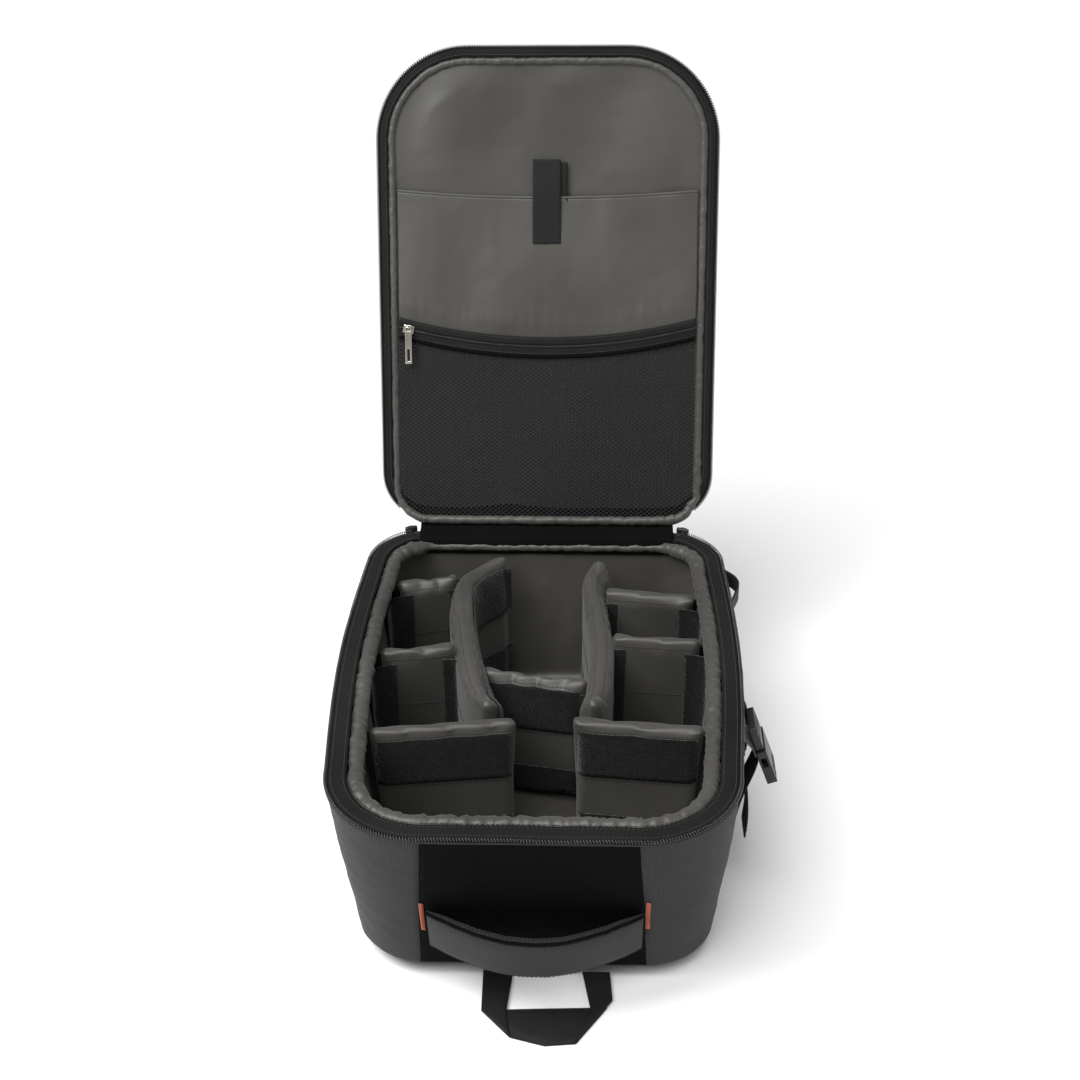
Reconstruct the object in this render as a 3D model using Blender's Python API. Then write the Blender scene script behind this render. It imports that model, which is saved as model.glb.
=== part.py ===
"""Backpack-style padded carrying case for a drone, lying on its back with the lid open.

Metres, +Z up. X runs across the case and +Y from the carry handle end to the lid hinge.
The origin is the middle of the face that the spine pad rests on.
"""

import math

import bmesh
import bpy
from mathutils import Vector

# Body: a tub that widens from the back panel up to the rim.
CASE_LENGTH = 0.425
RIM_WIDTH_NEAR = 0.303
RIM_WIDTH_FAR = 0.314
BASE_WIDTH_NEAR = 0.272
BASE_WIDTH_FAR = 0.286
SIDE_BOW = 0.007
CASE_HEIGHT = 0.158
NEAR_LEAN = 0.0375
FAR_LEAN = 0.0125
RIM_NEAR_RADIUS = 0.075
RIM_FAR_RADIUS = 0.054
BASE_NEAR_RADIUS = 0.050
BASE_FAR_RADIUS = 0.045

# Layers of the wall, from the outside in.
GAP = 0.0003
FABRIC = 0.0015
FOAM = 0.0117
LINING = 0.0012
FLOOR_FOAM = 0.0085
ROLL_RADIUS = 0.0059
TAPE_WIDTH = 0.0135
TAPE_THICKNESS = 0.0012
COIL_RADIUS = 0.0016

# Back pads, which the case lies on.
PAD_THICKNESS = 0.0117
SPINE_WIDTH = 0.064
SPINE_LENGTH = 0.300
STRAP_WIDTH = 0.056
STRAP_THICKNESS = 0.0105
STRAP_LENGTH = 0.215
STRAP_SPREAD = 0.060
STRAP_SPLAY = (1.05, 1.12, 1.45)
STRAP_START = 0.022
STRAP_TAPER = 0.6
STRAP_LIP = 0.003
SPINE_ROUNDING = 0.004
LOCK_HALF = 0.015
LOCK_LENGTH = 0.022
LOCK_LEVELS = (0.0015, 0.0075)
BACK_WEB_LEVELS = (0.003, 0.0045)
BACK_WEB_ANCHOR = (0.035, 0.012)

# Lid: a padded panel that leans back from the hinge.
LID_WIDTH = RIM_WIDTH_NEAR - 0.004
LID_END = CASE_LENGTH + 0.001
LID_START = 0.008
LID_TOP_RADIUS = 0.080
LID_HINGE_RADIUS = 0.042
LID_LEAN = math.radians(18.8)
LID_FLOAT = 0.0016
LID_DEPTH = 0.0175
BINDING_RADIUS = 0.003
BINDING_INSET = 0.0115
HINGE_RISE = 0.002
HINGE_SPAN = 0.222
HINGE_CLOTH = 0.0008
HINGE_LID_CLOTH = 0.0012
HINGE_DROP = 0.006
HINGE_FOLD_GAP = 0.0005
HINGE_LID_START = 0.002

# Lid section: depths from the inner face, and insets from the edge.
EDGE_TURN = 0.0035
EDGE_DEPTH = 0.0100
BACK_EDGE_INSET = 0.006
CROWN_INSET = 0.026
CROWN_RISE = 0.003
EDGE_ROUNDING = 0.0005
LID_COIL_RADIUS = 0.0013
LID_TAPE_DEPTH = 0.0018
LID_TAPE_THICKNESS = 0.0008

# Lid pockets, measured along the lid from the hinge.
MESH_ZIP_MIDDLE = 0.1665
MESH_ZIP_SAG = 0.0175
SLIP_TOP_MIDDLE = 0.298
SLIP_TOP_SAG = 0.006
ZIP_TAPE_HALF = 0.008
POCKET_WEB_WIDTH = 0.025
POCKET_STRAP_TOP = 0.329
POCKET_STRAP_END = 0.258
PULL_LENGTH = 0.034
PULL_WIDTH = 0.0056
PULL_THICKNESS = 0.0018
PULL_STANDOFF = 0.0030
SLIDER_WIDTH = 0.007
SLIDER_LENGTH = 0.011
SLIDER_START = 0.009
POCKET_DEPTHS = (0.0026, 0.0038)
POCKET_TAPE_DEPTHS = (0.0012, 0.0022)
STRAP_TAB_DEPTH = 0.0012
STRAP_TAB_HALF = 0.0009

# Webbing, handle and buckle.
WEB_WIDTH = 0.025
WEB_THICKNESS = 0.0013
HANDLE_HEIGHT = 0.045
HANDLE_CENTRE = 0.060
HANDLE_BOW = 0.021
HANDLE_STANDOFF = 0.0055
GRIP_THICKNESS = 0.005
AIR_MESH_THICKNESS = 0.004
LOOP_HALF = 0.048
LOOP_REACH = 0.070
LOOP_THICKNESS = 0.003
LOOP_CENTRE_X = 0.0095
BUCKLE_Y = -0.060
BUCKLE_WIDTH = 0.032
BUCKLE_THICKNESS = 0.008
BUCKLE_LENGTH = 0.054
BUCKLE_LEAN = math.radians(20.4)
TONGUE_LENGTH = 0.016
TONGUE_ROOT = 0.022
TONGUE_SIDE = 0.0045
TONGUE_FACE = 0.0022
TONGUE_PLAY = 0.0007
PLUG_INSET = (0.001, 0.002)
BUCKLE_DROP = 0.008
BUCKLE_CLEARANCE = 0.0012

# The compression webs: drops down the wall or along the buckle, shares of the height below the
# buckle, and distances off the wall.
UPPER_WEB_DROPS = (0.003, 0.016)
UPPER_WEB_RUN = (0.020, 0.028)
WEB_BEHIND = 0.0008
LOWER_WEB_START = 0.0335
LOWER_WEB_STEP = (-0.003, -0.012)
LOWER_WEB_SWELLS = ((0.750, 0.010), (0.469, 0.007))
LOWER_WEB_ANCHORS = (0.281, 0.131)
TAIL_OFF = 0.004
TAIL_LEVELS = ((0.825, 0.0), (0.582, 0.002), (0.375, 0.001))

# Side pocket.
POCKET_MOUTH_Y = -0.015
POCKET_END_Y = 0.150
POCKET_FLOOR = 0.028
POCKET_TOP = CASE_HEIGHT - 0.020
POCKET_DEPTH = 0.011
ELASTIC_WIDTH = 0.010
ELASTIC_EXTRA = 0.0008
WEB_LOOP_START = 0.094
WEB_LOOP_END = 0.154
WEB_LOOP_DEPTH = 0.011
WEB_LOOP_DROP = 0.004

# Dividers. Places are shares of the compartment, because hook and loop holds them anywhere.
DIVIDER_THICKNESS = 0.011
LONG_HEIGHT = CASE_HEIGHT - 0.022
CROSS_HEIGHT = CASE_HEIGHT - 0.024
CENTRE_HEIGHT = CASE_HEIGHT - 0.036
FLOOR_CLEARANCE = 0.0005
CENTRE_CLEARANCE = 0.003
DIVIDER_ROUNDING = 0.003
WALL_CLEARANCE = 0.0015
END_CLEARANCE = 0.002

ARC_STEPS = 8
SIDE_STEPS = 6
ZIP_END_STEP = 2

# Main zip sliders and their pulls.
MAIN_SLIDER_HALF = 0.006
MAIN_SLIDER_DEPTH = 0.003
MAIN_SLIDER_DROP = 0.0045
MAIN_PULL_HALF = 0.0035
MAIN_PULL_LENGTH = 0.030
MAIN_PULL_THICKNESS = 0.0018

CAVITY_INSET = FABRIC + GAP + FOAM + GAP + LINING
ROLL_INSET = FABRIC + GAP + FOAM + GAP + GAP + ROLL_RADIUS
FLOOR_HEIGHT = FABRIC + GAP + FLOOR_FOAM + GAP + LINING
RIM_Z = PAD_THICKNESS + GAP + CASE_HEIGHT
HINGE_Y = CASE_LENGTH / 2 + 0.0005
HINGE_Z = RIM_Z + HINGE_RISE
LID_REST_TURN = math.pi / 2 - LID_LEAN


def clear_scene():
    for thing in list(bpy.data.objects):
        bpy.data.objects.remove(thing, do_unlink=True)


def mix(start, end, share):
    return start + (end - start) * share


# Materials.


def material(name, colour, roughness, metallic=0.0):
    made = bpy.data.materials.new(name)
    made.use_nodes = True
    shader = made.node_tree.nodes["Principled BSDF"]
    shader.inputs["Base Color"].default_value = (*colour, 1.0)
    shader.inputs["Roughness"].default_value = roughness
    shader.inputs["Metallic"].default_value = metallic
    return made


FINISHES = {
    "ribbed_fabric": ((0.070, 0.070, 0.072), 0.75, 0.0),
    "dark_fabric": ((0.018, 0.018, 0.019), 0.80, 0.0),
    "satin_lining": ((0.145, 0.140, 0.120), 0.45, 0.0),
    "foam": ((0.30, 0.30, 0.31), 0.95, 0.0),
    "webbing": ((0.022, 0.022, 0.024), 0.65, 0.0),
    "zip_tape": ((0.020, 0.020, 0.021), 0.80, 0.0),
    "zip_coil": ((0.030, 0.030, 0.032), 0.35, 0.0),
    "air_mesh": ((0.030, 0.030, 0.032), 0.85, 0.0),
    "buckle_plastic": ((0.060, 0.060, 0.062), 0.45, 0.0),
    "silver_metal": ((0.62, 0.58, 0.52), 0.28, 1.0),
    "black_metal": ((0.030, 0.030, 0.030), 0.40, 0.8),
}


# Building blocks.


def place(obj, finish, parent=None):
    bpy.context.scene.collection.objects.link(obj)
    obj.data.materials.append(material(obj.name, *FINISHES[finish]))
    if parent:
        obj.parent = parent
    return obj


def finish_mesh(mesh, angle=35):
    mesh.shade_smooth()
    mesh.set_sharp_from_angle(angle=math.radians(angle))


def sweep(name, rings, finish, parent=None, wrap=False):
    """One closed solid through a row of rings of points, capped at both ends unless it wraps."""
    bm = bmesh.new()
    rows = [[bm.verts.new(point) for point in ring] for ring in rings]
    pairs = list(zip(rows, rows[1:]))
    if wrap:
        pairs.append((rows[-1], rows[0]))
    else:
        bm.faces.new(rows[0])
        bm.faces.new(rows[-1])
    for first, second in pairs:
        for i in range(len(first)):
            j = (i + 1) % len(first)
            bm.faces.new((first[i], first[j], second[j], second[i]))
    bmesh.ops.recalc_face_normals(bm, faces=bm.faces)
    mesh = bpy.data.meshes.new(name)
    bm.to_mesh(mesh)
    bm.free()
    finish_mesh(mesh)
    return place(bpy.data.objects.new(name, mesh), finish, parent)


def plate(name, outline, low, high, finish, parent=None):
    """A flat plate of a plan outline, from one level to the other."""
    rings = [[(x, y, level) for x, y in outline] for level in (low, high)]
    return sweep(name, rings, finish, parent)


def round_edges(obj, width, segments=2):
    bevel = obj.modifiers.new("round_edges", "BEVEL")
    bevel.width = width
    bevel.segments = segments
    bevel.limit_method = "ANGLE"
    bevel.angle_limit = math.radians(40)


def empty(name, place_at, turn=(0, 0, 0), parent=None):
    made = bpy.data.objects.new(name, None)
    made.location = place_at
    made.rotation_euler = turn
    bpy.context.scene.collection.objects.link(made)
    if parent:
        made.parent = parent
    return made


def box(name, low, high, finish, parent=None):
    outline = [(low[0], low[1]), (high[0], low[1]), (high[0], high[1]), (low[0], high[1])]
    return plate(name, outline, low[2], high[2], finish, parent)


def tube(name, points, radius, finish, parent=None):
    """A round cord along a row of points, with closed ends."""
    curve = bpy.data.curves.new(name, "CURVE")
    curve.dimensions = "3D"
    curve.bevel_depth = radius
    curve.bevel_resolution = 1
    curve.use_fill_caps = True
    spline = curve.splines.new("POLY")
    spline.points.add(len(points) - 1)
    for target, point in zip(spline.points, points):
        target.co = (*point, 1.0)
        target.radius = 1.0
    return place(bpy.data.objects.new(name, curve), finish, parent)


def smooth_path(points, steps):
    """A smooth line through a few plan points, as a row of closer points."""
    ends = [2 * Vector(points[0]) - Vector(points[1])]
    ends += [Vector(point) for point in points]
    ends.append(2 * Vector(points[-1]) - Vector(points[-2]))
    path = []
    for a, b, c, d in zip(ends, ends[1:], ends[2:], ends[3:]):
        for step in range(steps):
            t = step / steps
            path.append(
                0.5 * ((2 * b) + (c - a) * t + (2 * a - 5 * b + 4 * c - d) * t * t
                       + (3 * b - a - 3 * c + d) * t ** 3)
            )
    path.append(ends[-2])
    return path


# Outlines.


def half_outline(side, near, far, widths, radii, bow, inset):
    """One side of a rounded outline, from the end of its far edge to that of its near edge."""
    near_half, far_half = (width / 2 - inset for width in widths)
    near_radius, far_radius = (radius - inset for radius in radii)
    near, far = near + inset, far - inset
    points = []
    for step in range(ARC_STEPS + 1):
        turn = math.pi / 2 * step / ARC_STEPS
        x = far_half - far_radius + far_radius * math.sin(turn)
        points.append((side * x, far - far_radius + far_radius * math.cos(turn)))
    for step in range(1, SIDE_STEPS):
        share = 1 - step / SIDE_STEPS
        x = mix(near_half, far_half, share) + bow * math.sin(math.pi * share)
        points.append((side * x, mix(near + near_radius, far - far_radius, share)))
    for step in range(ARC_STEPS + 1):
        turn = math.pi / 2 * step / ARC_STEPS
        x = near_half - near_radius + near_radius * math.cos(turn)
        points.append((side * x, near + near_radius - near_radius * math.sin(turn)))
    return points


def case_half(side, height, inset):
    share = height / CASE_HEIGHT
    near = -CASE_LENGTH / 2 + mix(NEAR_LEAN, 0, share)
    far = CASE_LENGTH / 2 - mix(FAR_LEAN, 0, share)
    widths = (
        mix(BASE_WIDTH_NEAR, RIM_WIDTH_NEAR, share),
        mix(BASE_WIDTH_FAR, RIM_WIDTH_FAR, share),
    )
    radii = (
        mix(BASE_NEAR_RADIUS, RIM_NEAR_RADIUS, share),
        mix(BASE_FAR_RADIUS, RIM_FAR_RADIUS, share),
    )
    return half_outline(side, near, far, widths, radii, SIDE_BOW, inset)


def case_outline(height, inset):
    return case_half(1, height, inset) + case_half(-1, height, inset)[::-1]


def at_height(points, height):
    """Plan points lifted to a height above the back panel's outer face."""
    return [(x, y, PAD_THICKNESS + GAP + height) for x, y in points]


def side_x(y, height, inset=0.0):
    """How far the side wall stands from the middle at a place along the case."""
    share = height / CASE_HEIGHT
    near = -CASE_LENGTH / 2 + mix(NEAR_LEAN + BASE_NEAR_RADIUS, RIM_NEAR_RADIUS, share)
    far = CASE_LENGTH / 2 - mix(FAR_LEAN + BASE_FAR_RADIUS, RIM_FAR_RADIUS, share)
    along = min(1.0, max(0.0, (y - near) / (far - near)))
    near_half = mix(BASE_WIDTH_NEAR, RIM_WIDTH_NEAR, share) / 2
    far_half = mix(BASE_WIDTH_FAR, RIM_WIDTH_FAR, share) / 2
    return mix(near_half, far_half, along) + SIDE_BOW * math.sin(math.pi * along) - inset


def web_wall(height):
    """The furthest that the side wall stands out across the width of the compression web."""
    return max(side_x(BUCKLE_Y + sign * WEB_WIDTH / 2, height) for sign in (-1, 0, 1))


def near_y(height, inset=0.0):
    return -CASE_LENGTH / 2 + mix(NEAR_LEAN, 0, height / CASE_HEIGHT) + inset


def far_y(height, inset=0.0):
    return CASE_LENGTH / 2 - mix(FAR_LEAN, 0, height / CASE_HEIGHT) - inset


# Case walls: each layer is one sheet per side, near end and far end.


def wall_sheet(name, path, low, high, outer, inner, finish):
    """A layer of the wall along a plan path, between two heights and two insets."""
    corners = ((low, outer), (high, outer), (high, inner), (low, inner))
    lines = [at_height(path(height, inset), height) for height, inset in corners]
    return sweep(name, list(zip(*lines)), finish)


def end_path(index, trim):
    """The straight stretch of the outline between the two side sheets."""

    def path(height, inset):
        x, y = case_half(1, height, inset)[index]
        return [(x - trim, y), (trim - x, y)]

    return path


def side_path(side):
    return lambda height, inset: case_half(side, height, inset)


def build_walls():
    top = CASE_HEIGHT - FABRIC
    low = FABRIC + GAP
    foam_out = FABRIC + GAP
    foam_in = foam_out + FOAM
    layers = (("panel", 0.0, FABRIC, "ribbed_fabric"), ("foam", foam_out, foam_in, "foam"))
    for kind, outer, inner, finish in layers:
        near_finish = "dark_fabric" if kind == "panel" else finish
        wall_sheet("near_" + kind, end_path(-1, GAP), low, top, outer, inner, near_finish)
        wall_sheet("far_" + kind, end_path(0, GAP), low, top, outer, inner, finish)
        for word, side in (("left", -1), ("right", 1)):
            name = f"side_{kind}_{word}"
            wall_sheet(name, side_path(side), low, top, outer, inner, finish)


def build_floor():
    base = PAD_THICKNESS + GAP
    plate("back_panel", case_outline(0, 0), base, base + FABRIC, "dark_fabric")
    foam_low = base + FABRIC + GAP
    inset = FABRIC + GAP + FOAM + GAP
    foam_plan = case_outline(0, inset)
    plate("base_foam", foam_plan, foam_low, foam_low + FLOOR_FOAM, "foam")


def build_lining():
    """The satin tub that faces the compartment, with its floor."""
    outer = CAVITY_INSET - LINING
    bottom = FLOOR_HEIGHT - LINING
    top = CASE_HEIGHT - 2 * ROLL_RADIUS - 2 * GAP
    levels = (
        (bottom, outer),
        (top, outer),
        (top, CAVITY_INSET),
        (FLOOR_HEIGHT, CAVITY_INSET),
    )
    rings = [at_height(case_outline(height, inset), height) for height, inset in levels]
    sweep("case_lining", rings, "satin_lining")


def build_rim():
    """The stuffed satin roll, the zip tape beside it and the coil on its outer edge."""
    rings = []
    sides = 8
    for step in range(sides):
        turn = 2 * math.pi * step / sides
        inset = ROLL_INSET + ROLL_RADIUS * math.cos(turn)
        height = CASE_HEIGHT - ROLL_RADIUS + ROLL_RADIUS * math.sin(turn)
        plan = case_outline(height, inset)
        rings.append([(x, y, PAD_THICKNESS + GAP + height) for x, y in plan])
    sweep("rim_roll", list(zip(*rings)), "satin_lining", wrap=True)

    def open_path(height, inset):
        right = case_half(1, CASE_HEIGHT, inset)[ZIP_END_STEP:]
        left = case_half(-1, CASE_HEIGHT, inset)[ZIP_END_STEP:]
        return right + left[::-1]

    tape_low = CASE_HEIGHT - TAPE_THICKNESS
    tape_out = COIL_RADIUS
    wall_sheet(
        "case_zip_tape", open_path, tape_low, CASE_HEIGHT, tape_out, TAPE_WIDTH, "zip_tape"
    )
    coil = open_path(CASE_HEIGHT, -COIL_RADIUS / 2)
    level = RIM_Z - TAPE_THICKNESS + COIL_RADIUS
    tube("case_zip_coil", [(x, y, level) for x, y in coil], COIL_RADIUS, "zip_coil")


def build_hinge_fabric(lid):
    """The strip of fabric that joins the far wall to the lid, in two halves at the fold."""
    half = HINGE_SPAN / 2
    inner = CASE_LENGTH / 2 + GAP
    low = (-half, inner, RIM_Z - HINGE_DROP)
    high = (half, inner + HINGE_CLOTH, HINGE_Z - HINGE_FOLD_GAP)
    box("hinge_fabric_case", low, high, "dark_fabric")
    low = (-half, HINGE_LID_START, -LID_FLOAT - HINGE_LID_CLOTH)
    box("hinge_fabric_lid", low, (half, LID_START - GAP, -LID_FLOAT), "dark_fabric", lid)


# Back: pads and shoulder straps, which lie under the case.


def build_back():
    half, reach = SPINE_WIDTH / 2, SPINE_LENGTH / 2
    outline = [(-half, -reach), (half, -reach), (half, reach), (-half, reach)]
    pad = plate("spine_pad", outline, 0, PAD_THICKNESS, "air_mesh")
    round_edges(pad, SPINE_ROUNDING)
    start_y = near_y(0) + STRAP_START
    end_y = start_y + STRAP_LENGTH
    for word, side in (("left", -1), ("right", 1)):
        levels = (start_y, mix(start_y, end_y, 0.4), end_y)
        points = [(side * STRAP_SPREAD * splay, y) for splay, y in zip(STRAP_SPLAY, levels)]
        path = smooth_path(points, 4)
        rings = []
        for index, point in enumerate(path):
            share = index / (len(path) - 1)
            half = STRAP_WIDTH / 2 * mix(1.0, STRAP_TAPER, share)
            lip = STRAP_LIP
            section = ((-half, lip), (lip - half, 0), (half - lip, 0), (half, lip))
            section += tuple((x, STRAP_THICKNESS - z) for x, z in section[::-1])
            rings.append([(point.x + x, point.y, z) for x, z in section])
        sweep(f"shoulder_strap_{word}", rings, "air_mesh")
        lock_x = points[-1][0]
        lock_low = (lock_x - LOCK_HALF, end_y + GAP, LOCK_LEVELS[0])
        lock_high = (lock_x + LOCK_HALF, end_y + LOCK_LENGTH, LOCK_LEVELS[1])
        lock = box(f"strap_adjuster_{word}", lock_low, lock_high, "buckle_plastic")
        round_edges(lock, 0.001, 1)
        anchor_y = far_y(0) - BACK_WEB_ANCHOR[1]
        start = Vector((lock_x, end_y + LOCK_LENGTH + 2 * GAP))
        end = Vector((side * (side_x(anchor_y, 0) - BACK_WEB_ANCHOR[0]), anchor_y))
        rings = []
        for point in (start, start.lerp(end, 0.5), end):
            half = WEB_WIDTH / 2 - 0.002
            low, high = BACK_WEB_LEVELS
            section = ((-half, low), (half, low), (half, high), (-half, high))
            rings.append([(point.x + x, point.y, z) for x, z in section])
        sweep(f"strap_webbing_{word}", rings, "webbing")


# Near end: the padded carry handle and the grab loop.


def build_handle():
    """A padded strap bowed out between the two seams of the near panel."""
    lean = math.atan2(NEAR_LEAN, CASE_HEIGHT)
    centre = (0, near_y(HANDLE_CENTRE), PAD_THICKNESS + GAP + HANDLE_CENTRE)
    pivot = empty("carry_handle_pivot", centre, (lean, 0, 0))
    seam_x = case_half(1, HANDLE_CENTRE, 0)[-1][0]
    half = seam_x - 0.002
    steps = 12
    layers = (
        ("carry_handle_mesh", 0.0, AIR_MESH_THICKNESS, "air_mesh"),
        ("carry_handle_grip", AIR_MESH_THICKNESS + GAP, GRIP_THICKNESS, "ribbed_fabric"),
    )
    for name, inner, thickness, finish in layers:
        rings = []
        for step in range(steps + 1):
            share = 2 * step / steps - 1
            out = HANDLE_STANDOFF + inner + HANDLE_BOW * math.cos(math.pi / 2 * share)
            low, high = -HANDLE_HEIGHT / 2, HANDLE_HEIGHT / 2
            ring = ((out, low), (out, high), (out + thickness, high), (out + thickness, low))
            rings.append([(share * half, -away, level) for away, level in ring])
        grip = sweep(name, rings, finish, pivot)
        round_edges(grip, 0.0012, 1)


def build_grab_loop():
    """Flat webbing folded into a loop that lies on the ground at the near end."""
    anchor = near_y(0)
    pivot = empty("grab_loop_pivot", (LOOP_CENTRE_X, anchor, GAP + LOOP_THICKNESS / 2))
    leg = WEB_WIDTH - 0.001
    slant = LOOP_REACH * 0.42
    outer = (
        (LOOP_HALF, 0),
        (LOOP_HALF, -LOOP_REACH + slant),
        (LOOP_HALF - slant * 0.75, -LOOP_REACH + 0.006),
        (LOOP_HALF - slant * 1.25, -LOOP_REACH),
    )
    inner = ((LOOP_HALF - leg, 0), (LOOP_HALF - leg + 0.004, -LOOP_REACH + WEB_WIDTH + 0.006))
    outline = list(outer) + [(-x, y) for x, y in outer[::-1]]
    outline += [(-x, y) for x, y in inner] + list(inner[::-1])
    half = LOOP_THICKNESS / 2
    rings = [[(x, y, level) for x, y in outline] for level in (-half, half)]
    sweep("grab_loop", rings, "webbing", pivot)


# Right side: the pocket, the compression strap and its buckle.


def pocket_sheet(name, y_from, y_to, steps, thickness, finish):
    """A sheet that stands off the side, closed along its floor, its top and its far end."""
    rings = []
    rises = 8
    for step in range(steps + 1):
        y = mix(y_from, y_to, step / steps)
        along = min(1.0, max(0.0, (POCKET_END_Y - y) / (POCKET_END_Y - POCKET_MOUTH_Y)))
        outer, inner = [], []
        for rise in range(rises + 1):
            share = rise / rises
            height = mix(POCKET_FLOOR, POCKET_TOP, share)
            swell = POCKET_DEPTH * math.sin(math.pi * share) ** 0.5 * along ** 0.5
            x = side_x(y, height) + GAP + swell
            z = PAD_THICKNESS + GAP + height
            inner.append((x, y, z))
            outer.append((x + thickness, y, z))
        rings.append(outer + inner[::-1])
    return sweep(name, rings, finish)


def web_strip(name, path, finish="webbing"):
    """Webbing whose width lies along Y, through points given across and up."""
    rings = []
    for index, (x, z) in enumerate(path):
        before = Vector(path[max(0, index - 1)])
        after = Vector(path[min(len(path) - 1, index + 1)])
        run = (after - before).normalized()
        off = Vector((run.y, -run.x)) * WEB_THICKNESS / 2
        ring = []
        for sign in (-1, 1):
            edge_y = BUCKLE_Y + sign * WEB_WIDTH / 2
            ring.append((x - sign * off.x, edge_y, z - sign * off.y))
            ring.append((x + sign * off.x, edge_y, z + sign * off.y))
        rings.append(ring)
    return sweep(name, rings, finish)


def build_side():
    pocket_sheet("side_pocket", POCKET_MOUTH_Y, POCKET_END_Y, 10, FABRIC, "ribbed_fabric")
    hem_end = POCKET_MOUTH_Y - GAP
    thick = FABRIC + ELASTIC_EXTRA
    pocket_sheet("pocket_elastic", hem_end - ELASTIC_WIDTH, hem_end, 1, thick, "dark_fabric")
    rings = []
    for share in (0.0, 0.2, 0.4, 0.7, 1.0):
        y = mix(WEB_LOOP_START, WEB_LOOP_END, share)
        out = GAP + WEB_LOOP_DEPTH * math.sin(math.pi * share ** 1.6)
        ring = []
        low, high = POCKET_TOP + 2 * GAP, CASE_HEIGHT - WEB_LOOP_DROP
        for height, extra in ((low, 0), (high, 0), (high, WEB_THICKNESS), (low, WEB_THICKNESS)):
            lift = PAD_THICKNESS + GAP + height
            ring.append((side_x(y, CASE_HEIGHT) + out + extra, y, lift))
        rings.append(ring)
    sweep("side_web_loop", rings, "webbing")


def build_buckle():
    """Side release buckle: the tongue hangs from the upper web, the socket slips off it."""
    top_height = CASE_HEIGHT - BUCKLE_DROP
    wall = web_wall(top_height)
    clear = WEB_THICKNESS + 3 * GAP + BUCKLE_CLEARANCE
    half = BUCKLE_THICKNESS / 2
    top = (wall + clear + half, BUCKLE_Y, PAD_THICKNESS + GAP + top_height)
    frame = empty("buckle_frame", top, (0, -BUCKLE_LEAN, 0))
    body_half = BUCKLE_WIDTH / 2
    plug_x, plug_y = half - PLUG_INSET[0], body_half - PLUG_INSET[1]
    plug_plan = [(-plug_x, -plug_y), (plug_x, -plug_y), (plug_x, plug_y), (-plug_x, plug_y)]
    head = plate("buckle_plug", plug_plan, -TONGUE_ROOT, 0, "buckle_plastic", frame)
    tongue_half = body_half - TONGUE_SIDE
    tongue_thick = half - TONGUE_FACE
    tongue_low = (-tongue_thick, -tongue_half, -TONGUE_ROOT - TONGUE_LENGTH)
    tongue_high = (tongue_thick, tongue_half, -TONGUE_ROOT + WEB_THICKNESS)
    tongue = box("buckle_tongue_cutter", tongue_low, tongue_high, "buckle_plastic", frame)
    tongue.hide_render = True
    tongue.display_type = "WIRE"
    join = head.modifiers.new("tongue", "BOOLEAN")
    join.operation = "UNION"
    join.object = tongue
    slide = empty("buckle_slide", (0, 0, 0), (0, 0, 0), frame)
    shell_plan = [(-half, -body_half), (half, -body_half), (half, body_half), (-half, body_half)]
    shell_top = -TONGUE_ROOT - 2 * GAP
    shell = plate("buckle_socket", shell_plan, -BUCKLE_LENGTH, shell_top, "buckle_plastic", slide)
    play = TONGUE_PLAY
    low = (-tongue_thick - play, -tongue_half - play, -TONGUE_ROOT - TONGUE_LENGTH - 3 * play)
    high = (tongue_thick + play, tongue_half + play, shell_top + WEB_THICKNESS)
    cavity = box("buckle_cavity_cutter", low, high, "buckle_plastic", slide)
    cavity.hide_render = True
    cavity.display_type = "WIRE"
    cut = shell.modifiers.new("cavity", "BOOLEAN")
    cut.operation = "DIFFERENCE"
    cut.object = cavity

    inward = Vector((-math.cos(BUCKLE_LEAN), -math.sin(BUCKLE_LEAN)))
    down = Vector((math.sin(BUCKLE_LEAN), -math.cos(BUCKLE_LEAN)))
    behind = Vector((top[0], top[2])) + inward * (half + WEB_THICKNESS / 2 + WEB_BEHIND)
    skin = GAP + WEB_THICKNESS / 2
    base = PAD_THICKNESS + GAP
    upper = []
    for drop in UPPER_WEB_DROPS:
        height = CASE_HEIGHT - drop
        upper.append((web_wall(height) + skin, base + height))
    upper += [tuple(behind + down * run) for run in UPPER_WEB_RUN]
    web_strip("upper_web", upper)
    hang = behind + down * LOWER_WEB_START
    turn = hang + Vector(LOWER_WEB_STEP)
    below = turn.y - base
    lower = [tuple(hang), tuple(turn)]
    for share, off in LOWER_WEB_SWELLS:
        lower.append((web_wall(below * share) + off, base + below * share))
    for share in LOWER_WEB_ANCHORS:
        lower.append((web_wall(below * share) + 2 * skin, base + below * share))
    web_strip("lower_web", lower)
    swell_share, swell = LOWER_WEB_SWELLS[0]
    tail_x = web_wall(below * swell_share) + swell + TAIL_OFF
    tail = [(tail_x + off, base + below * share) for share, off in TAIL_LEVELS]
    web_strip("web_tail", tail)


# Dividers.


def compartment(share_x, share_y):
    """A place on the compartment floor, from shares of its half width and of its length."""
    low = near_y(FLOOR_HEIGHT, CAVITY_INSET)
    high = far_y(FLOOR_HEIGHT, CAVITY_INSET)
    y = mix(low, high, share_y)
    return Vector((share_x * side_x(y, FLOOR_HEIGHT, CAVITY_INSET), y))


def thick_line(path, start_half, end_half):
    """The outline of a line of even thickness, given the half thickness at its two ends."""
    left, right = [], []
    for index, point in enumerate(path):
        run = (path[min(len(path) - 1, index + 1)] - path[max(0, index - 1)]).normalized()
        half = mix(start_half, end_half, index / (len(path) - 1))
        off = Vector((-run.y, run.x)) * half
        left.append(point + off)
        right.append(point - off)
    return left + right[::-1]


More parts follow.
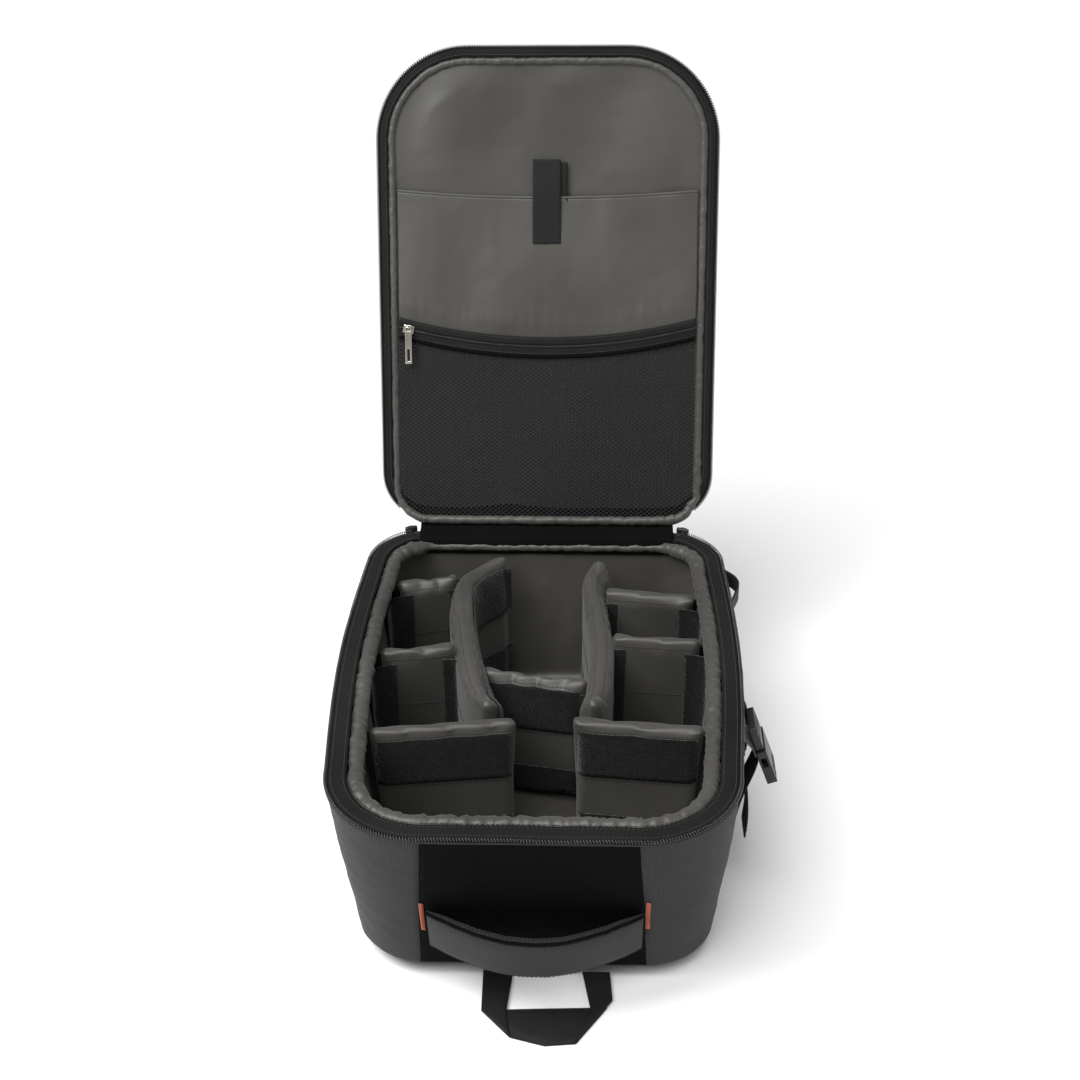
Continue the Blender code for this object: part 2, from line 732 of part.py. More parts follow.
LONG_LINES = {
    "left": ((-0.25, 0.985), (-0.47, 0.915), (-0.56, 0.83), (-0.48, 0.61), (-0.37, 0.44),
             (-0.25, 0.345)),
    "right": ((0.40, 0.985), (0.345, 0.915), (0.345, 0.83), (0.385, 0.62), (0.36, 0.44),
              (0.30, 0.345)),
}


def long_path(word):
    return smooth_path([compartment(x, y) for x, y in LONG_LINES[word]], 3)


def long_x(word, y):
    """Where a long divider's middle line crosses a place along the case."""
    path = long_path(word)
    for first, second in zip(path, path[1:]):
        if second.y <= y <= first.y:
            return mix(first.x, second.x, (y - first.y) / (second.y - first.y))
    return path[-1].x


def divider(name, outline_low, outline_high, height):
    """A stiff padded panel that stands on the floor and lifts straight out."""
    floor = PAD_THICKNESS + GAP + FLOOR_HEIGHT + FLOOR_CLEARANCE
    top = PAD_THICKNESS + GAP + FLOOR_HEIGHT + height
    rings = [[(p.x, p.y, z) for p in outline]
             for outline, z in ((outline_low, floor), (outline_high, top))]
    obj = sweep(name, rings, "satin_lining")
    round_edges(obj, DIVIDER_ROUNDING, 2)


def build_dividers():
    half = DIVIDER_THICKNESS / 2
    for word in ("left", "right"):
        outline = thick_line(long_path(word), half, half)
        divider(f"divider_long_{word}", outline, outline, LONG_HEIGHT)

    roll_edge = ROLL_INSET + ROLL_RADIUS + WALL_CLEARANCE

    def cross(name, word, share_wall, share_long, into_channel=None):
        side = -1 if word == "left" else 1
        outlines = []
        wall_y, inner_y = compartment(0, share_wall).y, compartment(0, share_long).y
        at_rim = side_x(wall_y, CASE_HEIGHT, roll_edge)
        at_floor = min(at_rim, side_x(wall_y, FLOOR_HEIGHT, CAVITY_INSET + WALL_CLEARANCE))
        for limit in (at_floor, at_rim):
            if into_channel is None:
                reach = max(side * long_x(word, inner_y + shift) for shift in (-half, 0, half))
                inner_x = side * (reach + 1.2 * half + END_CLEARANCE)
            else:
                inner_x = compartment(into_channel, share_long).x
            ends = [Vector((side * limit, wall_y)), Vector((inner_x, inner_y))]
            outlines.append(thick_line(ends, half, half))
        divider(name, outlines[0], outlines[1], CROSS_HEIGHT)

    cross("divider_near_left", "left", 0.255, 0.295, -0.13)
    cross("divider_mid_left", "left", 0.560, 0.592)
    cross("divider_far_left", "left", 0.865, 0.905)
    cross("divider_near_right", "right", 0.275, 0.303, 0.22)
    cross("divider_mid_right", "right", 0.615, 0.640)
    cross("divider_far_right", "right", 0.815, 0.842)

    left_y, right_y = compartment(0, 0.545).y, compartment(0, 0.495).y
    ends = [
        Vector((long_x("left", left_y) + half + CENTRE_CLEARANCE, left_y)),
        Vector((long_x("right", right_y) - half - CENTRE_CLEARANCE, right_y)),
    ]
    outline = thick_line(ends, half, half)
    divider("divider_centre", outline, outline, CENTRE_HEIGHT)


# Lid. Its frame has X across, Y along the lid from the hinge and Z out of its inner face.


def lid_outline(inset):
    widths = (LID_WIDTH, LID_WIDTH)
    radii = (LID_TOP_RADIUS, LID_HINGE_RADIUS)
    halves = [
        half_outline(side, -LID_END, -LID_START, widths, radii, 0.0, inset) for side in (1, -1)
    ]
    return [(x, -y) for x, y in halves[0] + halves[1][::-1]]


def lid_ring(inset, depth):
    return [(x, y, -depth) for x, y in lid_outline(inset)]


def lid_edge_path(inset, depth):
    count = len(lid_outline(inset)) // 2
    ring = lid_ring(inset, depth)
    return ring[ZIP_END_STEP:count] + ring[count:2 * count - ZIP_END_STEP]


def sag_line(middle, sag, x, half):
    """Height of a line that sags in an arc between two ends at the same level."""
    radius = (half * half + sag * sag) / (2 * sag)
    return middle + radius - math.sqrt(radius * radius - x * x)


def lid_inner_half():
    return LID_WIDTH / 2 - BINDING_INSET - BINDING_RADIUS - 3 * GAP


def hinge_edge(x, inset):
    """The lid's edge beside the hinge, with its round corners."""
    radius = LID_HINGE_RADIUS - inset
    over = max(0.0, abs(x) - (LID_WIDTH / 2 - LID_HINGE_RADIUS))
    return LID_START + inset + radius - math.sqrt(max(0.0, radius * radius - over * over))


def lid_strip(name, low_line, high_line, depths, finish, lid, half):
    """A sheet across the lid between two lines, from one depth to another."""
    rings = []
    steps = 18
    for step in range(steps + 1):
        x = mix(-half, half, step / steps)
        low, high = low_line(x), high_line(x)
        shallow, deep = depths
        rings.append([(x, low, -shallow), (x, high, -shallow), (x, high, -deep), (x, low, -deep)])
    return sweep(name, rings, finish, lid)


def build_lid():
    lid = empty("lid_hinge", (0, HINGE_Y, HINGE_Z), (LID_REST_TURN, 0, 0))
    face = LID_FLOAT
    back = face + LID_DEPTH
    edge_low = face + 2 * BINDING_RADIUS + GAP
    crown = back + CROWN_RISE
    shell_levels = (
        (0.0, edge_low - EDGE_TURN),
        (0.0, face + EDGE_DEPTH),
        (BACK_EDGE_INSET, back),
        (CROWN_INSET, crown),
        (CROWN_INSET + 2 * EDGE_ROUNDING, crown - FABRIC),
        (BACK_EDGE_INSET + FABRIC, back - FABRIC),
        (FABRIC, face + EDGE_DEPTH - EDGE_ROUNDING),
        (FABRIC, edge_low - EDGE_TURN),
    )
    outer = [lid_ring(inset, depth) for inset, depth in shell_levels[:4]]
    inner = [lid_ring(inset, depth) for inset, depth in shell_levels[4:]]
    sweep("lid_shell", outer[::-1] + inner[::-1], "ribbed_fabric", lid)
    foam_levels = (
        (FABRIC + GAP, edge_low),
        (FABRIC + GAP, face + EDGE_DEPTH - 2 * EDGE_ROUNDING),
        (BACK_EDGE_INSET + FABRIC + 2 * GAP, back - FABRIC - 2 * GAP),
        (CROWN_INSET + FABRIC, crown - FABRIC - 2 * GAP),
    )
    sweep("lid_foam", [lid_ring(inset, depth) for inset, depth in foam_levels], "foam", lid)
    lining_inset = BINDING_INSET + BINDING_RADIUS + GAP
    lining_levels = (edge_low - FABRIC - 2 * GAP, edge_low - GAP)
    lining = [lid_ring(lining_inset, depth) for depth in lining_levels]
    sweep("lid_lining", lining, "satin_lining", lid)

    sides = 8
    rings = []
    for step in range(sides):
        turn = 2 * math.pi * step / sides
        inset = BINDING_INSET + BINDING_RADIUS * math.cos(turn)
        rings.append(lid_ring(inset, face + BINDING_RADIUS + BINDING_RADIUS * math.sin(turn)))
    sweep("lid_binding", list(zip(*rings)), "satin_lining", lid, wrap=True)

    tape_depth = face + LID_TAPE_DEPTH
    tape_back = tape_depth + LID_TAPE_THICKNESS
    tape_in = BINDING_INSET - BINDING_RADIUS - GAP
    corners = (
        (COIL_RADIUS / 2, tape_depth),
        (COIL_RADIUS / 2, tape_back),
        (tape_in, tape_back),
        (tape_in, tape_depth),
    )
    lines = [lid_edge_path(inset, depth) for inset, depth in corners]
    sweep("lid_zip_tape", list(zip(*lines)), "zip_tape", lid)
    coil = lid_edge_path(-COIL_RADIUS / 2 - GAP, tape_depth)
    tube("lid_zip_coil", coil, LID_COIL_RADIUS, "zip_coil", lid)
    return lid


def build_lid_pockets(lid):
    half = lid_inner_half()
    bottom_inset = BINDING_INSET + BINDING_RADIUS + GAP

    def zip_line(x):
        return sag_line(MESH_ZIP_MIDDLE, MESH_ZIP_SAG, x, half)

    pocket_depths = [LID_FLOAT + depth for depth in POCKET_DEPTHS]
    tape_depths = [LID_FLOAT + depth for depth in POCKET_TAPE_DEPTHS]
    lid_strip(
        "mesh_pocket",
        lambda x: hinge_edge(x, bottom_inset) + 2 * GAP,
        zip_line,
        pocket_depths, "air_mesh", lid, half - 0.001,
    )
    lid_strip(
        "slip_pocket",
        lambda x: zip_line(x) + 2 * GAP,
        lambda x: sag_line(SLIP_TOP_MIDDLE, SLIP_TOP_SAG, x, half),
        pocket_depths, "satin_lining", lid, half - 0.001,
    )
    lid_strip(
        "mesh_zip_tape",
        lambda x: zip_line(x) - ZIP_TAPE_HALF,
        lambda x: zip_line(x) + ZIP_TAPE_HALF,
        tape_depths, "zip_tape", lid, half - 0.001,
    )

    pivot = empty("pocket_strap_pivot", (0, POCKET_STRAP_TOP, -LID_FLOAT - STRAP_TAB_DEPTH), parent=lid)
    web, thin = POCKET_WEB_WIDTH / 2, STRAP_TAB_HALF
    low = (-web, POCKET_STRAP_END - POCKET_STRAP_TOP, -thin)
    box("pocket_strap", low, (web, 2 * thin, thin), "webbing", pivot)

    slider_x = -half + SLIDER_START
    radius = (half * half + MESH_ZIP_SAG ** 2) / (2 * MESH_ZIP_SAG)
    centre = (0, MESH_ZIP_MIDDLE + radius, 0)
    run = empty("mesh_zip_run", centre, parent=lid)
    swing = math.asin(slider_x / radius)
    at_slider = empty("mesh_zip_slider_frame", (0, 0, 0), (0, 0, swing), run)
    wide, long = SLIDER_WIDTH / 2, SLIDER_LENGTH / 2
    slider_low = (-wide, -radius - long, -LID_FLOAT - 0.0008)
    slider_high = (wide, -radius + long, -LID_FLOAT + 0.0018)
    slider = box("mesh_zip_slider", slider_low, slider_high, "silver_metal", at_slider)
    round_edges(slider, 0.0008, 1)
    pull_at = (slider_x, zip_line(slider_x) + PULL_STANDOFF, -LID_FLOAT + PULL_STANDOFF)
    pull_pivot = empty("mesh_zip_pull_pivot", pull_at, parent=lid)
    wide, thin = PULL_WIDTH / 2, PULL_THICKNESS / 2
    pull_low = (-wide, -PULL_LENGTH, -thin)
    pull = box("mesh_zip_pull", pull_low, (wide, thin, thin), "silver_metal", pull_pivot)
    round_edges(pull, EDGE_ROUNDING, 1)


def build_main_sliders():
    """The two sliders of the main zip, parked at its ends beside the hinge."""
    radius = RIM_FAR_RADIUS
    start = math.pi / 2 * ZIP_END_STEP / ARC_STEPS
    for word, side in (("left", -1), ("right", 1)):
        centre = (side * (RIM_WIDTH_FAR / 2 - radius), CASE_LENGTH / 2 - radius, 0)
        run = empty(f"zip_run_{word}", centre, (0, 0, -side * start))
        out = radius + 1.5 * COIL_RADIUS + 2 * GAP
        low = (-MAIN_SLIDER_HALF, out, RIM_Z - MAIN_SLIDER_DROP)
        high = (MAIN_SLIDER_HALF, out + MAIN_SLIDER_DEPTH, HINGE_Z + 2 * GAP)
        slider = box(f"zip_slider_{word}", low, high, "black_metal", run)
        round_edges(slider, 0.0006, 1)
        thin = MAIN_PULL_THICKNESS / 2
        pull_at = (0, out + MAIN_SLIDER_DEPTH + 4 * GAP, RIM_Z - thin)
        pivot = empty(f"zip_pull_{word}_pivot", pull_at, parent=run)
        low = (-MAIN_PULL_HALF, -thin, -MAIN_PULL_LENGTH)
        high = (MAIN_PULL_HALF, thin, thin)
        pull = box(f"zip_pull_{word}", low, high, "black_metal", pivot)
        round_edges(pull, EDGE_ROUNDING, 1)


def main():
    clear_scene()
    build_walls()
    build_floor()
    build_lining()
    build_rim()
    build_back()
    build_handle()
    build_grab_loop()
    build_side()
    build_buckle()
    build_dividers()
    lid = build_lid()
    build_hinge_fabric(lid)
    build_lid_pockets(lid)
    build_main_sliders()


main()
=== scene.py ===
"""Padded carrying case for a drone: backpack-style soft case, lid open, lying on its back pads."""

import math

import bmesh
import bpy
import numpy as np
from mathutils import Matrix, Vector, noise
from mathutils.bvhtree import BVHTree


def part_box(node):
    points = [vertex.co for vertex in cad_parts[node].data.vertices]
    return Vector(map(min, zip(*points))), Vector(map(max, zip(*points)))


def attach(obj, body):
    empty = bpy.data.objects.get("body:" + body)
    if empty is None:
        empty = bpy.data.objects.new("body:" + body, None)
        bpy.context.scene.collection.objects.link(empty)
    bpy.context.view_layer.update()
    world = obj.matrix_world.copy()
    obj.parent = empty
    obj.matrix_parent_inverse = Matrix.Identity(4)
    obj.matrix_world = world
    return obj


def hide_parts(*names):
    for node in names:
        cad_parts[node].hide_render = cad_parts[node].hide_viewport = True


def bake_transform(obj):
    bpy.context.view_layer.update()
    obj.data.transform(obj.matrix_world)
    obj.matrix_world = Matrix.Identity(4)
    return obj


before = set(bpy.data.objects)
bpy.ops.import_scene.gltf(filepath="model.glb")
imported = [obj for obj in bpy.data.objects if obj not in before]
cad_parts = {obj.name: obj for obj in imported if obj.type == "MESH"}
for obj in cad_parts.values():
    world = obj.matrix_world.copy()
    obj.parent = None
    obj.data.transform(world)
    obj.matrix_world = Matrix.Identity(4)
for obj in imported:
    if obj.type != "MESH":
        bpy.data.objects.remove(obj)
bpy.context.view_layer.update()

# Camera, floor and light.
# A large pale sheet of paper under one broad light from above, with a wide lamp at each side.

scene = bpy.context.scene
azimuth, elevation, roll = math.radians(-2.16), math.radians(30.6), math.radians(-0.64)
forward = Vector((math.sin(azimuth) * math.cos(elevation), math.cos(azimuth) * math.cos(elevation),
                  -math.sin(elevation)))
right = forward.cross(Vector((0, 0, 1))).normalized()
up = right.cross(forward)
right, up = (math.cos(roll) * right + math.sin(roll) * up,
             math.cos(roll) * up - math.sin(roll) * right)
camera = bpy.data.objects.new("camera", bpy.data.cameras.new("camera"))
camera.data.lens, camera.data.sensor_width = 52.3, 36.0
turned = Matrix((right, up, -forward)).transposed().to_4x4()
camera.matrix_world = Matrix.Translation((0.041, -1.039, 0.900)) @ turned
scene.collection.objects.link(camera)
scene.camera = camera

world = bpy.data.worlds.new("studio")
world.use_nodes = True
sky = world.node_tree.nodes["Background"].inputs
sky["Color"].default_value, sky["Strength"].default_value = (1.0, 1.0, 1.0, 1.0), 0.30
scene.world = world
scene.view_settings.view_transform = "Standard"

sun = bpy.data.objects.new("soft_key", bpy.data.lights.new("soft_key", "SUN"))
sun.data.energy, sun.data.angle = 2.8, math.radians(48)
sun.rotation_euler = Vector((0.22, 0.40, -1.05)).to_track_quat("-Z", "Y").to_euler()
scene.collection.objects.link(sun)
lamps = (("key", (-0.85, -0.35, 1.25), 0.7, 13.0), ("fill", (1.7, -0.8, 1.3), 1.2, 4.0))
for word, place_at, size, power in lamps:
    lamp = bpy.data.objects.new(word + "_light", bpy.data.lights.new(word + "_light", "AREA"))
    lamp.data.size, lamp.data.energy = size, power
    lamp.location = place_at
    lamp.rotation_euler = (Vector((0, 0, 0.15)) - Vector(place_at)).to_track_quat("-Z", "Y").to_euler()
    scene.collection.objects.link(lamp)

floor_mesh = bpy.data.meshes.new("floor")
reach = 30
floor_mesh.from_pydata([(-reach, -reach, 0), (reach, -reach, 0), (reach, reach, 0), (-reach, reach, 0)], [],
                       [(0, 1, 2, 3)])
floor = bpy.data.objects.new("floor", floor_mesh)
scene.collection.objects.link(floor)
paper = bpy.data.materials.new("paper")
paper.use_nodes = True
paper_look = paper.node_tree.nodes["Principled BSDF"].inputs
paper_look["Base Color"].default_value = (0.93, 0.93, 0.93, 1.0)
paper_look["Roughness"].default_value = 0.9
floor.data.materials.append(paper)

# Materials.
# Woven nylon, satin lining, hook-and-loop pile, moulded plastic, painted and plated metal.
# One group makes every weave: ribs across and along the piece's own map, in metres.


def group(name, inputs, outputs):
    made = bpy.data.node_groups.new(name, "ShaderNodeTree")
    for word, kind, value in inputs:
        socket = made.interface.new_socket(word, in_out="INPUT", socket_type=kind)
        socket.default_value = value
    for word, kind in outputs:
        made.interface.new_socket(word, in_out="OUTPUT", socket_type=kind)
    return made, made.nodes.new("NodeGroupInput"), made.nodes.new("NodeGroupOutput")


def maths(tree, operation, first, second=None, clamp=False):
    node = tree.nodes.new("ShaderNodeMath")
    node.operation, node.use_clamp = operation, clamp
    for socket, value in zip(node.inputs, (first, second)):
        if value is None:
            continue
        if isinstance(value, (int, float)):
            socket.default_value = value
        else:
            tree.links.new(value, socket)
    return node.outputs[0]


weave, weave_in, weave_out = group(
    "weave",
    (("Vector", "NodeSocketVector", (0, 0, 0)), ("Across", "NodeSocketFloat", 0.0017),
     ("Along", "NodeSocketFloat", 0.0012), ("Twill", "NodeSocketFloat", 0.0)),
    (("Ribs", "NodeSocketFloat"), ("Threads", "NodeSocketFloat")),
)
split = weave.nodes.new("ShaderNodeSeparateXYZ")
weave.links.new(weave_in.outputs["Vector"], split.inputs[0])
slant = maths(weave, "MULTIPLY", split.outputs[1], weave_in.outputs["Twill"])
across = maths(weave, "DIVIDE", maths(weave, "ADD", split.outputs[0], slant), weave_in.outputs["Across"])
along = maths(weave, "DIVIDE", split.outputs[1], weave_in.outputs["Along"])
rib = maths(weave, "SINE", maths(weave, "MULTIPLY", across, 2 * math.pi))
thread = maths(weave, "SINE", maths(weave, "MULTIPLY", along, 2 * math.pi))
weave.links.new(maths(weave, "MULTIPLY_ADD", rib, 0.5), weave_out.inputs["Ribs"])
weave.links.new(maths(weave, "MULTIPLY", rib, thread), weave_out.inputs["Threads"])

# Random noise for tone, roughness and grain, as a broad mottle and a fine one. On the satin, the broad mottle
# spans a wide tone range and is painted sheen: light and dark patches in place of the shine on its folds. On
# the other finishes it is tone that differs at random.
mottle_and_painted_sheen, mottle_sheen_in, mottle_sheen_out = group(
    "mottle_and_painted_sheen",
    (("Vector", "NodeSocketVector", (0, 0, 0)), ("Broad", "NodeSocketFloat", 14.0),
     ("Fine", "NodeSocketFloat", 900.0)),
    (("Broad", "NodeSocketFloat"), ("Fine", "NodeSocketFloat")),
)
for word, detail in (("Broad", 4.0), ("Fine", 2.0)):
    node = mottle_and_painted_sheen.nodes.new("ShaderNodeTexNoise")
    node.inputs["Detail"].default_value = detail
    mottle_and_painted_sheen.links.new(mottle_sheen_in.outputs["Vector"], node.inputs["Vector"])
    mottle_and_painted_sheen.links.new(mottle_sheen_in.outputs[word], node.inputs["Scale"])
    mottle_and_painted_sheen.links.new(node.outputs["Fac"], mottle_sheen_out.inputs[word])


def finish_of(name, dark, light, rough, metallic=0.0, sheen=0.0, specular=0.5, across=None, along=0.0012,
              twill=0.0, rib_depth=0.0, grain=0.0002, fine=900.0, broad=14.0, stripe=0.0, coat=0.0):
    """A material whose colour drifts between two tones, with ribs from the weave map and a fine grain."""
    made = bpy.data.materials.new(name)
    made.use_nodes = True
    tree = made.node_tree
    shader = tree.nodes["Principled BSDF"]
    place_node = tree.nodes.new("ShaderNodeTexCoord")
    mottle_sheen_node = tree.nodes.new("ShaderNodeGroup")
    mottle_sheen_node.node_tree = mottle_and_painted_sheen
    mottle_sheen_node.inputs["Broad"].default_value, mottle_sheen_node.inputs["Fine"].default_value = broad, fine
    tree.links.new(place_node.outputs["Object"], mottle_sheen_node.inputs["Vector"])
    tone = maths(tree, "MULTIPLY_ADD", mottle_sheen_node.outputs["Broad"], 1.3)
    tone.node.inputs[2].default_value = -0.30
    tone = maths(tree, "ADD", tone, maths(tree, "MULTIPLY", mottle_sheen_node.outputs["Fine"], 0.3), clamp=True)
    height = maths(tree, "MULTIPLY", mottle_sheen_node.outputs["Fine"], grain)
    if across:
        mapped = tree.nodes.new("ShaderNodeUVMap")
        mapped.uv_map = "weave"
        woven = tree.nodes.new("ShaderNodeGroup")
        woven.node_tree = weave
        for word, value in (("Across", across), ("Along", along), ("Twill", twill)):
            woven.inputs[word].default_value = value
        tree.links.new(mapped.outputs["UV"], woven.inputs["Vector"])
        threads = maths(tree, "MULTIPLY", woven.outputs["Threads"], 0.35)
        both = maths(tree, "ADD", woven.outputs["Ribs"], threads)
        height = maths(tree, "ADD", height, maths(tree, "MULTIPLY", both, rib_depth))
        tone = maths(tree, "ADD", tone, maths(tree, "MULTIPLY", both, stripe), clamp=True)
    ramp = tree.nodes.new("ShaderNodeMix")
    ramp.data_type = "RGBA"
    ramp.inputs["A"].default_value, ramp.inputs["B"].default_value = (*dark, 1.0), (*light, 1.0)
    tree.links.new(tone, ramp.inputs["Factor"])
    tree.links.new(ramp.outputs["Result"], shader.inputs["Base Color"])
    bump = tree.nodes.new("ShaderNodeBump")
    bump.inputs["Distance"].default_value = 1.0
    bump.inputs["Strength"].default_value = 0.6
    tree.links.new(height, bump.inputs["Height"])
    tree.links.new(bump.outputs["Normal"], shader.inputs["Normal"])
    low = maths(tree, "MULTIPLY_ADD", mottle_sheen_node.outputs["Broad"], 0.12)
    low.node.inputs[2].default_value = rough - 0.06
    tree.links.new(low, shader.inputs["Roughness"])
    for word, value in (("Metallic", metallic), ("Specular IOR Level", specular), ("Sheen Weight", sheen),
                        ("Coat Weight", coat)):
        shader.inputs[word].default_value = value
    return made


ribbed = finish_of("ribbed fabric", (0.008, 0.008, 0.0077), (0.029, 0.029, 0.0287), 0.70, sheen=0.05,
                   specular=0.16, across=0.0017, along=0.0023, rib_depth=0.00022, stripe=0.5)
dark_cloth = finish_of("dark fabric", (0.0012, 0.0012, 0.0012), (0.0040, 0.0040, 0.0040), 0.9, specular=0.06,
                       across=0.0009, along=0.0009, rib_depth=0.00008, stripe=0.2)
# The satin's wide span from dark to light tone, laid out by the broad noise, is painted sheen: light and dark
# patches that stand in for the shine on its folds.
satin = finish_of("satin lining", (0.020, 0.0191, 0.0160), (0.070, 0.0668, 0.0575), 0.47, sheen=0.14,
                  specular=0.48, across=0.0007, along=0.0007, rib_depth=0.00003, grain=0.00005, broad=6.5,
                  stripe=0.06)
pile = finish_of("loop pile", (0.0010, 0.0010, 0.0011), (0.010, 0.010, 0.0102), 0.95, sheen=0.20,
                 specular=0.05, grain=0.0034, fine=620.0, broad=130.0)
web = finish_of("webbing", (0.0025, 0.0025, 0.0028), (0.012, 0.012, 0.0125), 0.65, sheen=0.03, specular=0.18,
                across=0.0021, along=0.0014, twill=0.8, rib_depth=0.00025, stripe=0.5)
tape = finish_of("zip tape", (0.004, 0.004, 0.004), (0.013, 0.013, 0.013), 0.8, specular=0.14,
                 across=0.0011, along=0.0008, twill=1.0, rib_depth=0.00010, stripe=0.3)
coil_finish = finish_of("zip coil", (0.006, 0.006, 0.0065), (0.016, 0.016, 0.017), 0.22, specular=1.0)
net = finish_of("air mesh", (0.003, 0.003, 0.0034), (0.014, 0.014, 0.0155), 0.8, sheen=0.06, specular=0.2,
                across=0.0032, along=0.0028, rib_depth=0.0005, stripe=0.9)
thread_finish = finish_of("thread", (0.012, 0.0115, 0.011), (0.030, 0.029, 0.027), 0.6, sheen=0.1)
orange = finish_of("orange thread", (0.60, 0.10, 0.03), (0.85, 0.19, 0.06), 0.6, sheen=0.3)
plastic = finish_of("buckle plastic", (0.008, 0.008, 0.0086), (0.015, 0.015, 0.016), 0.40, specular=0.35,
                    grain=0.00004, fine=1600.0)
silver = finish_of("silver metal", (0.42, 0.39, 0.34), (0.62, 0.58, 0.52), 0.30, metallic=1.0, grain=0.00004)
black_metal = finish_of("black metal", (0.012, 0.012, 0.013), (0.030, 0.030, 0.032), 0.34, metallic=0.3,
                        coat=0.2, grain=0.00004)
foam = finish_of("foam", (0.008, 0.008, 0.0085), (0.020, 0.020, 0.021), 0.95, specular=0.1,
                 grain=0.0009, fine=700.0)

# Case walls, outer fabric.
# Ribbed nylon over foam, cut in four panels that meet in four sewn corner seams. The near panel
# is plain black cloth. Each panel is a fine grid that follows the tapered tub, slightly creased.

BASE = 0.012
HEIGHT = 0.158
HALF_LENGTH = 0.2125
NEAR_SLOPE, FAR_SLOPE = 0.0375, 0.0125
NEAR_WIDTHS, FAR_WIDTHS = (0.272, 0.303), (0.286, 0.314)
NEAR_RADII, FAR_RADII = (0.050, 0.075), (0.045, 0.054)
BOW = 0.007
FOOT_RADIUS = 0.007


def mix(start, end, share):
    return start + (end - start) * share


def near_y(height):
    return -HALF_LENGTH + mix(NEAR_SLOPE, 0, height / HEIGHT)


def far_y(height):
    return HALF_LENGTH - mix(FAR_SLOPE, 0, height / HEIGHT)


def plan(near, far, widths, radii, bow, inset, counts):
    """Right half of a rounded outline, from the middle of its far edge to that of its near edge."""
    near_half, far_half = (width / 2 - inset for width in widths)
    near_radius, far_radius = (radius - inset for radius in radii)
    near, far = near + inset, far - inset
    middle, arc, side, end_arc, last = counts
    points = []
    for step in range(middle):
        points.append(((far_half - far_radius) * step / middle, far))
    for step in range(arc):
        turn = math.pi / 2 * step / arc
        points.append((far_half - far_radius + far_radius * math.sin(turn),
                       far - far_radius + far_radius * math.cos(turn)))
    for step in range(side):
        share = 1 - step / side
        points.append((mix(near_half, far_half, share) + bow * math.sin(math.pi * share),
                       mix(near + near_radius, far - far_radius, share)))
    for step in range(end_arc):
        turn = math.pi / 2 * step / end_arc
        points.append((near_half - near_radius + near_radius * math.cos(turn),
                       near + near_radius - near_radius * math.sin(turn)))
    for step in range(last + 1):
        points.append(((near_half - near_radius) * (1 - step / last), near))
    return points


COUNTS = (16, 16, 64, 20, 16)


def case_plan(height, inset, counts=COUNTS):
    share = height / HEIGHT
    return plan(near_y(height), far_y(height), (mix(*NEAR_WIDTHS, share), mix(*FAR_WIDTHS, share)),
                (mix(*NEAR_RADII, share), mix(*FAR_RADII, share)), BOW, inset, counts)


def whole(half):
    """A closed outline from its right half."""
    return half + [(-x, y) for x, y in half[-2:0:-1]]


def case_ring(height, inset, counts=COUNTS):
    return [(x, y, BASE + height) for x, y in whole(case_plan(height, inset, counts))]


def side_x(y, height, inset=0.0):
    share = height / HEIGHT
    near = near_y(height) + mix(*NEAR_RADII, share)
    far = far_y(height) - mix(*FAR_RADII, share)
    along = min(1.0, max(0.0, (y - near) / (far - near)))
    half = mix(mix(*NEAR_WIDTHS, share), mix(*FAR_WIDTHS, share), along) / 2
    return half + BOW * math.sin(math.pi * along) - inset


def rounded_in(past, radius):
    """How far a rounded corner has turned in, at a distance past its start."""
    return radius - math.sqrt(max(0.0, radius ** 2 - past ** 2)) if past > 0 else 0.0


def smooth(obj):
    obj.data.polygons.foreach_set("use_smooth", [True] * len(obj.data.polygons))
    obj.data.update()
    return obj


def fit(piece, body, *old, look=None, stuffing=None):
    """Say what a piece moves with and which solids it stands in for. Its look and its stuffing are not used.
    """
    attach(piece, body)
    if old:
        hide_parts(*old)
    return piece


def remap(piece, place):
    """Lay the weave map by a rule that leads from a point of the piece to the map, in metres."""
    for loop in piece.data.loops:
        piece.data.uv_layers[0].data[loop.index].uv = place(piece.data.vertices[loop.vertex_index].co)


def add(name, verts, faces, finish, uvs=None):
    mesh = bpy.data.meshes.new(name)
    mesh.from_pydata([tuple(v) for v in verts], [], faces)
    if uvs is not None:
        layer = mesh.uv_layers.new(name="weave")
        picked = np.asarray(uvs, np.float32)[np.concatenate([np.asarray(f) for f in faces])]
        layer.data.foreach_set("uv", picked.ravel())
    mesh.materials.append(finish)
    obj = bpy.data.objects.new(name, mesh)
    scene.collection.objects.link(obj)
    return smooth(obj)


def strip(name, rows, finish, thick=0.0, outward=1.0, wrap=False):
    """A cloth grid through rows of points, with a map in metres: U along the rows, V across them."""
    grid = np.array([[tuple(p) for p in row] for row in rows], float)
    count, wide = grid.shape[:2]
    u = np.concatenate([[0], np.cumsum(np.linalg.norm(np.diff(grid, axis=0), axis=2).mean(axis=1))])
    v = np.concatenate([[0], np.cumsum(np.linalg.norm(np.diff(grid, axis=1), axis=2).mean(axis=0))])
    uvs = np.stack(np.broadcast_arrays(u[:, None], v[None, :]), axis=2).reshape(-1, 2)
    faces = []
    for a in range(count if wrap else count - 1):
        b = (a + 1) % count
        for c in range(wide - 1):
            faces.append((a * wide + c, b * wide + c, b * wide + c + 1, a * wide + c + 1))
    obj = add(name, grid.reshape(-1, 3), faces, finish, uvs)
    if thick:
        solid = obj.modifiers.new("thickness", "SOLIDIFY")
        solid.thickness, solid.offset = thick, outward
    return obj


